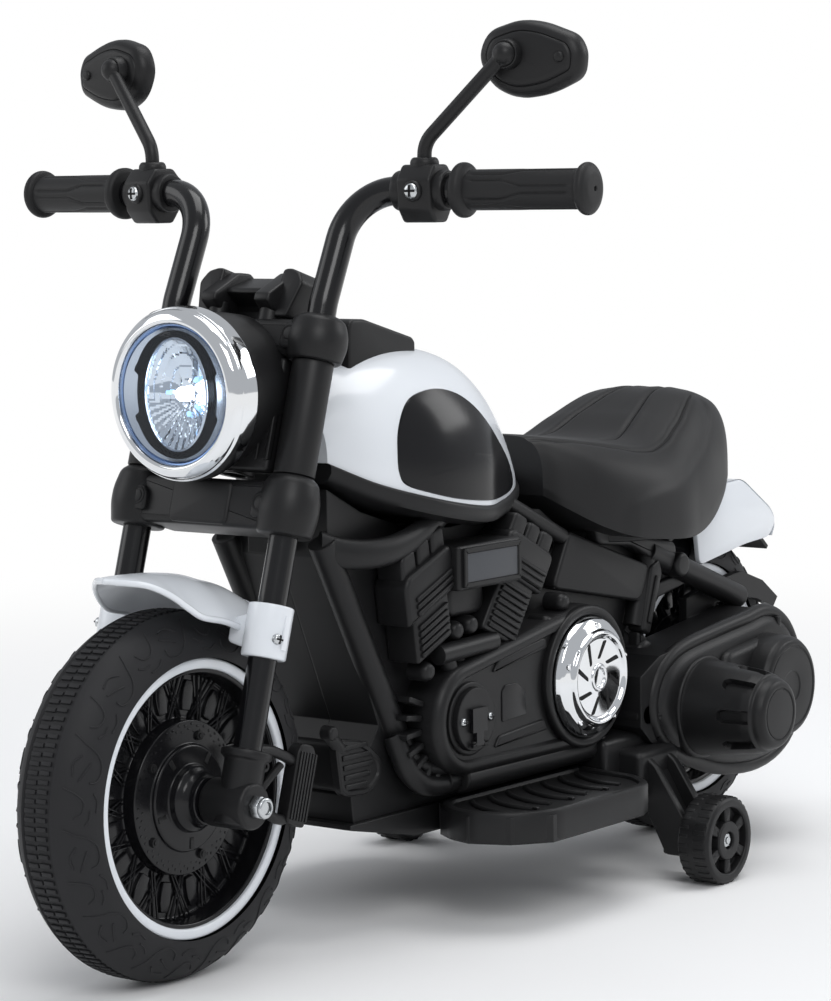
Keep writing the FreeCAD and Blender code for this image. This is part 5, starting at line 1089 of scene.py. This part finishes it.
def jug(crank, lean_back, rise, low):
    """A finned cylinder and its head, drawn upright, leaned on its crank point, with fins on a slope."""
    solids = [slab(soft_corners(rectangle(-20, low, 20, 97), 3), 40, 65.6, 2.2),
              slab(soft_corners([(-28, 95), (26, 95), (26, 122), (22, 126), (-24, 126), (-28, 122)], 2.5),
                   40, 68, 3)]
    for k in range(int((93 - low) / FIN_STEP)):
        z = low + 3 + FIN_STEP * k
        solids.append(slab(soft_corners(rectangle(-16.5, z, 16.5, z + 3.2), 1), 62, 67.8, 0.9))
    for k in range(3):
        z = 98.5 + FIN_STEP * k
        solids.append(slab(soft_corners(rectangle(-19, z, 22, z + 3), 0.9), 66, 69.8, 0.8))
    for y, wide in ((-17, 8.4), (0.6, 7.2), (17, 7.6)):
        cap_line = [(y - wide, 122), (y + wide, 122), (y + wide * 0.9, 139), (y - wide * 0.9, 139)]
        solids.append(slab(soft_corners(cap_line, 4, 5), 42, 64, 2.4))
    along, up = math.radians(rise), math.radians(lean_back)
    return [moved(m, lambda x, y, z: (x, crank[0] + y * math.cos(along) + z * math.sin(up),
                                      crank[1] + y * math.sin(along) + z * math.cos(up))) for m in solids]


push_rods = [tube([(60, 212, 182), (60, 220, 164)], 5.6, 20), tube([(58, 224, 184), (58, 232, 168)], 5, 20),
             tube([(56, 262, 176), (56, 280, 196)], 6, 20)]
cross_line = [(63, 200, 181.4), (63, 206, 181.6), (63, 256, 183.6), (63, 262, 183.8)]
cross_pipe = tube(curve_through(cross_line, 4), [4.6] + [6.6] * 11 + [4.6], 24)
carburettor = slab(soft_corners(rectangle(218, 203, 259, 226), 9), 42, 59, 4)
caps = [turned(soft_line([(0, 66), (4.6, 65.4), (6.4, 62), (6.6, 50)], 2, 4), (0, y, z), "x", 28)
        for y, z in ((222, 195), (238, 197), (190, 172), (326, 187), (345, 200))]
fin = slab(soft_corners(rectangle(-2, 40, 2, 56), 1.4), 41, 58, 1)
fan = [moved(fin, Matrix.Translation(PORT_AT) @ Matrix.Rotation(math.radians(a), 4, "X"))
       for a in range(70, 150, 13)]
plate_box = [slab(soft_corners(rectangle(211, 222.5, 281, 252.5), 2.5), 44, 73.4, 2.6),
             stack(soft_corners(rectangle(214, 224.5, 278, 250.5), 2),
                   [(70, 0), (75.6, 0), (76.2, 0.6), (76.2, 3), (75, 3.6)])]
DUCT = [(38, 110, 260), (47, 122, 255.2), (54, 138, 253.4), (58, 156, 254.4), (59, 175, 258.4),
        (58, 193, 263.8), (55, 214, 270.5), (52, 228, 275)]
DUCT_TALL = 1.45
duct_line = curve_through([(x, y, z / DUCT_TALL) for x, y, z in DUCT], 8)
duct_pipe = tube(duct_line, [7.2 - 0.03 * k for k in range(len(duct_line))], 24)
duct = moved(duct_pipe, lambda x, y, z: (x, y, z * DUCT_TALL))
seat_tube = tube([(46, 300, 273), (49, 364, 243)], 5.4, 20)
heads = jug(FRONT_CRANK, -8.1, 23.2, 66) + jug(REAR_CRANK, 33.8, -26.5, 53) + [duct, seat_tube, carburettor]

# Primary cover: a long oval case with a raised rim and a sunk face, moulded with the engine. It seats the
# chrome cover behind, and on the left the charging port's ring and a small gloss black window.
DISC_AT = (0, 362, 147)


def belt_outline(front, front_radius, rear, rear_radius, steps=36):
    """The line of a belt round two circles, seen from the side."""
    gap = math.hypot(rear[0] - front[0], rear[1] - front[1])
    tilt = math.atan2(rear[1] - front[1], rear[0] - front[0])
    spread = math.acos((front_radius - rear_radius) / gap)
    line = []
    for i in range(steps + 1):
        a = tilt + spread + (2 * math.pi - 2 * spread) * i / steps
        line.append((front[0] + front_radius * math.cos(a), front[1] + front_radius * math.sin(a)))
    for i in range(steps + 1):
        a = tilt - spread + 2 * spread * i / steps
        line.append((rear[0] + rear_radius * math.cos(a), rear[1] + rear_radius * math.sin(a)))
    return line


primary_line = belt_outline(PORT_AT[1:], 38, DISC_AT[1:], 50)
primary = stack(primary_line, [(40, 0), (63, 0), (67, 1.2), (69.4, 3.6), (70, 6), (69.6, 8.6), (68, 10),
                               (66.6, 10.6)])
drum_seat = turned(soft_line([(30, 66), (49.5, 66), (49.5, 71), (47.4, 72.4), (44, 72), (42, 70.4)], 1.2),
                   DISC_AT, "x", 96)
port_ring = turned(soft_line([(21.4, 66), (24.6, 66), (24.6, 68.4), (23.4, 69), (21.4, 69)], 0.6),
                   PORT_AT, "x", 72)
rib_top = slab(soft_corners([(255, 163), (318, 172), (316, 180), (262, 172)], 3), 64, 68.6, 1.4)
rib_low = slab(soft_corners([(256, 112), (318, 116), (314, 124), (262, 120)], 3), 64, 68.2, 1.4)
engine = heads + push_rods + [cross_pipe] + caps + fan + plate_box + [primary, drum_seat]
piece("engine_castings_left", "frame", satin, engine + [port_ring, rib_top, rib_low],
      ["engine_cover_left"])
piece("engine_castings_right", "frame", satin,
      [flipped(m) for m in engine + [rib_top, rib_low]], ["engine_cover_right"])
# Plate grey: dark metallic lacquer on plastic, with a soft grey sheen.
grey = material("plate_grey", "4a4c50", 0.42, metallic=0.35, grain=0.8, relief=0.03)
piece("engine_plates", "frame", grey,
      both([slab(rectangle(218, 228, 274, 247), 74.4, 75.4, 0.3)]))
window_line = [(266, 128.5), (266, 149), (270, 153), (284, 153), (293, 146), (294, 130)]
window = slab(soft_corners(window_line, 1.2), 66, 67.4, 0.4)
piece("port_window", "frame", gloss, [window])

# Chrome covers: plated round caps with a dished rim, a raised ring, slanting slots, a hub ring and small
# bolts, pressed into the primary cover on both sides. The slots are thin dark plates of painted shade on
# the plating.
DISC = [(41, 70.6), (42, 71.4), (42, 73), (40.6, 76.2), (38, 78.2), (35.4, 79.4), (33.6, 80.2), (32.6, 82.6),
        (31, 83.6), (29.4, 83), (28.2, 81), (27, 80.4), (9.6, 80.4), (9.2, 81.6), (7.6, 82), (6.4, 81.4),
        (6, 80), (0, 80)]
COVER_SLOTS, COVER_BOLTS = 8, 5
face = turned(soft_line(DISC, 0.8, 3), DISC_AT, segments=128)
piece("chrome_discs", "frame", chrome, both([face]), ["chrome_covers"], 50)
slot_line = soft_corners([(-1.5, 13), (1.5, 13), (2, 25), (-2, 25)], 1.4)
slot = slab([(y + 8 * (z - 13) / 12, z) for y, z in slot_line], 79.6, 80.75, 0.2)
bolt = turned([(0, 80.3), (1.8, 80.1), (2.4, 79.4), (2.4, 76)], (0, 0, 35.6), segments=20)
for side, change in SIDES:
    # Painted shade: the dark plates of the slots.
    ring_of("chrome_slots_" + side, "frame", dark, "chrome", [change(slot)], COVER_SLOTS, DISC_AT)
    ring_of("chrome_bolts_" + side, "frame", chrome, "chrome", [change(bolt)], COVER_BOLTS, DISC_AT)

# Tail cowl: a white moulding with soft edges, two flat cheeks under a bent crown. It is screwed over a
# black inner fender behind the saddle.
COWL = [(-20, 87), (-27, 132), (0, 145), (38, 147), (44, 145), (83, 121), (90, 111), (80, 99), (46, 97)]
COWL_TOP = [(545, 247), (572, 260.2), (610, 262.2), (618, 259.6), (655, 236.4), (661.8, 227), (657, 218)]
cowl_line = soft_corners([(y + WHEELBASE, z + AXLE_HEIGHT) for y, z in COWL], 7, 5)
cowl_side = stack(cowl_line, [(39.4, 0.2), (41.4, 0.2), (42.6, 0.8), (43.2, 2.4)])
crown = [[(x, y, z) for x in (-42, -36, -20, 0, 20, 36, 42)] for y, z in soft_line(COWL_TOP, 6, 5)]
hood = [[(x, y, z - 3) for x, y, z in reversed(row)] for row in crown]
piece("tail_cowl", "frame", white, both([cowl_side]) + [sheet_of(crown), sheet_of(hood)],
      ["rear_fender"])

# Gearbox: a black moulded cover with a rolled flange, a slotted motor drum, and a round cap over the axle,
# screwed to the gear housing on the left.
FLANGE = [(438, 97), (432, 108), (431, 121), (436, 134), (447, 145), (470, 154.5), (515, 160.5), (556, 165),
          (582, 168), (606, 160), (622, 143), (631, 118), (628, 92), (612, 68), (574, 56), (520, 60),
          (470, 76), (448, 87)]
flange_line = curve_through([(78, y, z) for y, z in FLANGE + FLANGE[:1]], 5)
cover_line = [(y, z) for x, y, z in flange_line][:-1]
cover_face = stack(cover_line, [(72, 2), (80, 2), (84, 5), (86, 9), (86.4, 14)])
flange = tube(flange_line, 5.4, 16, caps=False)
MOTOR_AT = (0, 487.65, 110)
DRUM = [(35.2, 78), (35.2, 88), (34.6, 90), (31.8, 117), (29.8, 134), (28, 140.4), (26.2, 141.6),
        (25.6, 145), (23.6, 148.8), (20.8, 150), (18.9, 150), (18.5, 149.1), (17.9, 149.1),
        (17.5, 149.8), (0, 149.9)]
SLOT_COUNT = 8
SLOT_HALF, SLOT_DEPTH = 4.6, 4.5
SLOT_FROM, SLOT_ROUND_TO, SLOT_TO = 116.4, 121, 139.6


def slotted_drum():
    """The motor drum, with long hollows sunk into its side. Each hollow has a round inner end."""
    points = []
    around = 400
    line = soft_line(DRUM, 1.6, 4)
    dense = []
    for a, b in zip(line, line[1:]):
        steps = max(1, int((b[1] - a[1]) / 0.8))
        dense += [(a[0] + (b[0] - a[0]) * i / steps, a[1] + (b[1] - a[1]) * i / steps) for i in range(steps)]
    dense.append(line[-1])
    for radius, x in dense:
        for k in range(around):
            turn = 360 * k / around
            off = abs((turn + 180 / SLOT_COUNT) % (360 / SLOT_COUNT) - 180 / SLOT_COUNT)
            half_width = SLOT_HALF
            if x < SLOT_ROUND_TO:
                half_width = math.sqrt(max(0, SLOT_HALF ** 2 - (SLOT_ROUND_TO - x) ** 2))
            inside = SLOT_FROM < x < SLOT_TO and radius > 20 and math.radians(off) * radius < half_width
            r = radius - SLOT_DEPTH if inside else radius
            a = math.radians(turn)
            points.append((x, MOTOR_AT[1] + r * math.cos(a), MOTOR_AT[2] + r * math.sin(a)))
    return points, wrapped(len(dense), around)


collar = turned(soft_line([(37, 80), (37, 87.6), (36, 88.8), (34, 88.8)], 0.8), MOTOR_AT, segments=96)
cap_line = [(38.6, 78), (37.8, 97), (36.8, 105.6), (34, 109.4), (31, 110), (30.4, 109.2), (29.6, 109.2),
            (29, 109.8), (12, 109.8), (11.4, 109), (0, 109)]
axle_cap = turned(soft_line(cap_line, 1.2, 4), (0, WHEELBASE, AXLE_HEIGHT), segments=96)
lug = turned(soft_line([(0, 80), (8, 80), (10.4, 77.6), (10.8, 52)], 1.6, 4), (0, 425, 112), "x", 36)
lug_pin = tube([(80, 432, 110), (83, 454, 110)], 3.2, 16)
tab = slab(soft_corners(rectangle(592, 152, 597, 163), 1), 76, 86, 1)
saddle_web = slab(soft_corners([(500, 118), (512, 146), (566, 152), (566, 96), (520, 84)], 8), 80, 93, 6)
gearbox_shapes = [cover_face, flange, slotted_drum(), collar, axle_cap, lug, lug_pin, tab, saddle_web]
piece("gearbox_case", "frame", satin, gearbox_shapes, ["gearbox_cover"], 32)

# Stabiliser wheels: small wheels of hard black plastic with notched treads and six spokes in a dished face.
# Each turns on a steel bolt through its hub.
STABILISER = (0, 421, 30.5)
NOTCHES, STABILISER_SPOKES = 30, 6
section = [(4.1, 126), (9, 126), (9.4, 127.4), (23.6, 127.4), (24.4, 124.6), (28.2, 124.2), (30.2, 126),
           (30.5, 128.6), (30.5, 145), (30, 147.4), (28, 149), (24, 149), (23, 148), (22.6, 142.6),
           (14, 142.4), (13.6, 147.6), (12.8, 148.6), (6.6, 148.6), (6, 148), (6, 144.6), (4.1, 144.6)]
tyre = turned(soft_line(section, 0.8, 3), STABILISER, segments=96)
outer_bar = block((137.5, -1.5, 29.6), (147, 1.5, 31), 0.6)
inner_bar = spun(block((126, -1.2, 29.6), (133, 1.2, 30.9), 0.5), 180 / NOTCHES)
spoke = slab(soft_corners([(-3, 12.6), (3, 12.6), (4, 23.4), (-4, 23.4)], 1), 139, 147.4, 1)
for side, change in SIDES:
    body = "stabiliser_" + side
    piece(body + "_tyre", body, satin, [change(tyre)], ["stabiliser_wheel_" + side])
    ring_of(body + "_tread", body, satin, "satin_black", [change(outer_bar), change(inner_bar)], NOTCHES,
            STABILISER)
    ring_of(body + "_spokes", body, satin, "satin_black", [change(spoke)], STABILISER_SPOKES, STABILISER)

# Stabiliser arms: black moulded brackets, each of two cheeks with a pocket between them, screwed under a
# block at the deck's rear corner. They hold the bolts of the small wheels.
ARM = [(70, 60), (70, 84), (90, 86), (98, 80), (122, 44), (122, 18.5), (106, 18.5), (84, 60)]
POCKET = [(70, 62), (70, 82), (86, 83), (92, 74), (112, 40), (112, 20), (104, 24), (84, 62)]
cheeks = [slab(soft_corners(ARM, 2.5), low, high, 1.4, "xz") for low, high in ((405, 411.5), (430.5, 437))]
web = slab(soft_corners(POCKET, 2), 410, 432, 0.6, "xz")
foot = block((104, 406, 18.5), (122, 436, 40), 2)
pivot = turned(soft_line([(4.1, 123.6), (10, 123.6), (11, 121), (11, 112)], 1), STABILISER, segments=40)
piece("stabiliser_arms", "frame", satin, both([*cheeks, web, foot, pivot]),
      ["stabiliser_brackets"])
corner = moved(slab(soft_corners(rectangle(40, 396, 92, 446), 5, 5), 62, 94, 4, "xy", 5),
               lambda x, y, z: (x, y, z - max(0, x - 60) * 0.16))
step = moved(slab(soft_corners(rectangle(40, 378, 74, 440), 4, 5), 70, 102, 4, "xy", 5),
             lambda x, y, z: (x, y, z - max(0, x - 56) * 0.2))
piece("deck_corners", "frame", satin, both([corner, step]))

# Body fasteners: two cross screws beside the charging port, the stabiliser wheels' bolts and the rear
# axle's right nut. All are zinc-coated steel.
PORT_SCREWS = [(73.2, y, 136, 3, "x", 1) for y in (214.3, 243.7)]
port_screws = [cross_screw(*at) for at in PORT_SCREWS]
# Painted shade: dark bars in the cross recesses of the port's screws.
port_recess_shade = [m for at in PORT_SCREWS for m in recess(*at)]
wheel_bolt = [slab(soft_corners(hexagon(5.4, STABILISER[1:]), 0.6, 2), 143, 147, 0.8),
              turned([(0, 148), (2.4, 147.8), (2.8, 146.6)], STABILISER, "x", 24)]
axle_nut = slab(soft_corners(hexagon(7.6, (WHEELBASE, AXLE_HEIGHT)), 0.6, 2), -58, -52, 0.7)
piece("body_screws", "frame", zinc, port_screws + both(wheel_bolt) + [axle_nut],
      ["body_fasteners"])
# Painted shade: the dark bars in the port screws' recesses.
piece("body_screw_slots", "frame", dark, port_recess_shade)

# Footboards: trays with a raised rim and a tread of bent ribs, moulded with the floor pan in black plastic.
# Geometry nodes copy the ribs and the short bars along each board: rows, turn, step and start.
BOARD = [(49, 220), (70.4, 202), (88, 197), (114.4, 208), (132, 231), (132, 338), (125.8, 353),
         (107.4, 368), (73, 372), (52, 377)]
board_line = inset(soft_corners(BOARD, 14, 5), -1)
board = stack(board_line, [(59.7, 6), (59.8, 2), (61, 0.4), (63, 0), (78.6, 0), (80.4, 0.8), (81.2, 2.4),
                           (81.2, 4.6), (80.4, 6), (78.4, 6.8)], "xy")
piece("footboard_rims", "frame", satin, both([board]))
rib_line = [(63, 6, 78.6), (74, -5, 79), (86, -12, 79), (98, -15.5, 79), (112, -14, 78.6)]
rib = tube(curve_through(rib_line, 6), 1.9, 12)
bar = block((108, 8, 78), (115, 11, 80.4), 0.8)
RIB_ROWS = (7, 0, (0, 20.6, 0), (0, 230, 0))
BAR_ROWS = (3, 0, (0, 41, 0), (0, 229, 0))
for side, change in SIDES:
    repeat_of("board_ribs_" + side, "frame", satin, "satin_black", [change(rib)], *RIB_ROWS)
    repeat_of("board_bars_" + side, "frame", satin, "satin_black", [change(bar)], *BAR_ROWS)

# Plain pieces: tubes, housings, battery, board and gears show as their CAD solids, each with the finish of
# its slot in the record. Sharp edges of the black mouldings are softened in the shading.

# Black moulding: the satin plastic with edges rounded by the mould. Tube paint: baked enamel, black and
# smooth, with clear highlights. Gear nylon: cream and dull. Battery case: grey ABS. Circuit board: green
# lacquer over glass cloth.
moulding = material("satin_black_moulding", "171718", 0.42, grain=0.5, relief=0.04, blotch=0.05, edge=1.4)
paint = material("black_tube_paint", "0c0c0e", 0.22, coat=0.25, blotch=0.05)
nylon = material("gear_nylon", "d9d6c8", 0.5, grain=0.8, relief=0.03)
battery_case = material("battery_case", "5d6066", 0.45, grain=0.8, relief=0.04, blotch=0.05)
circuit_board = material("circuit_board", "1f5a35", 0.4, grain=3, relief=0.05, coat=0.2)
SLOT_LOOKS = {
    "tyre_black": foam, "satin_black": moulding, "gloss_black": gloss, "black_tube": paint,
    "white_gloss": white, "chrome": chrome, "steel": zinc, "grip_rubber": rubber, "seat_skin": leather,
    "clear": lens_look, "reflector": silver, "lamp": led_look, "gear_white": nylon,
    "battery_grey": battery_case, "board_green": circuit_board, "red_plastic": button_red,
}
for row in frame["record"]["subparts"]:
    mesh = frame["nodes"][row["node"]].data
    mesh.materials.clear()
    mesh.materials.append(SLOT_LOOKS.get(row["material_slot"], satin))

# Camera: a long lens in the place that the photograph was taken from, a little above the front left of the
# bike. Its axes to the right, above and towards the eye were solved on the photograph.
eye = bpy.data.cameras.new("photo_view")
eye.lens = 118.3
eye.sensor_width = 36
eye.shift_x = 0.0267
eye.shift_y = 0.0251
camera = bpy.data.objects.new("photo_view", eye)
right = Vector((0.79318, 0.60881, -0.01476))
above = Vector((-0.05335, 0.09362, 0.99418))
toward = Vector((0.60665, -0.78777, 0.10674))
camera.matrix_world = Matrix.Translation((1.33383, -1.78614, 0.49481)) @ Matrix(
    (right, above, toward)).transposed().to_4x4()
bpy.context.scene.collection.objects.link(camera)
bpy.context.scene.camera = camera
bpy.context.scene.view_settings.view_transform = "Standard"

# Floor: a plain pale sheet of matt paper under the bike, wide enough to have no edge in view. It keeps the
# bike's shadow and fades to white further out, over distances in metres.
FADE_FROM, FADE_TO = 0.5, 1.9
FLOOR_HALF = 30
floor_mesh = bpy.data.meshes.new("floor")
floor_mesh.from_pydata([(FLOOR_HALF * x, FLOOR_HALF * y, 0) for x, y in rectangle(-1, -1, 1, 1)], [],
                       [(0, 1, 2, 3)])
pale = material("pale_floor", "f4f4f4", 0.7)
tree = pale.node_tree
spot = node(tree, "ShaderNodeTexCoord")
reach = node(tree, "ShaderNodeVectorMath", {0: spot["Object"]}, operation="LENGTH")
grow = node(tree, "ShaderNodeMapRange", {
    "Value": reach["Value"], "From Min": FADE_FROM, "From Max": FADE_TO}, interpolation_type="SMOOTHSTEP")
bright = node(tree, "ShaderNodeEmission")
blend = node(tree, "ShaderNodeMixShader", {
    "Fac": grow["Result"], 1: node(tree, "Principled BSDF")["BSDF"], 2: bright["Emission"]})
node(tree, "Material Output", {"Surface": blend["Shader"]})
floor_mesh.materials.append(pale)
floor = bpy.data.objects.new("floor", floor_mesh)
bpy.context.scene.collection.objects.link(floor)
floor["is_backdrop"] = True

# Light: a soft, slightly cold room that the camera sees as plain white, and four square lamps with cloth
# fronts: key, fill, top and rim, all turned to the middle of the bike. Places and sizes are in metres.
world = bpy.data.worlds.new("soft_room")
bpy.context.scene.world = world
world.use_nodes = True
tree = world.node_tree
room = node(tree, "Background", {"Color": linear("f3f6fb"), "Strength": 0.55})
seen = node(tree, "ShaderNodeBackground", {"Color": (1, 1, 1, 1)})
choose = node(tree, "ShaderNodeMixShader", {
    "Fac": node(tree, "ShaderNodeLightPath")["Is Camera Ray"], 1: room["Background"], 2: seen["Background"]})
node(tree, "World Output", {"Surface": choose["Shader"]})
for name, place, size, power in (("key", (2.0, -1.9, 2.4), 1.5, 34), ("fill", (-2.2, -1.6, 1.5), 1.6, 12),
                                 ("top", (0.3, 0.4, 2.6), 1.6, 26), ("rim", (1.6, 2.2, 1.6), 1.2, 16)):
    lamp = bpy.data.lights.new(name, "AREA")
    lamp.energy = power
    lamp.size = size
    light = bpy.data.objects.new(name, lamp)
    light.location = place
    light.rotation_euler = (Vector((0, 0, 0.25)) - Vector(place)).to_track_quat("-Z", "Y").to_euler()
    bpy.context.scene.collection.objects.link(light)

low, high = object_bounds()
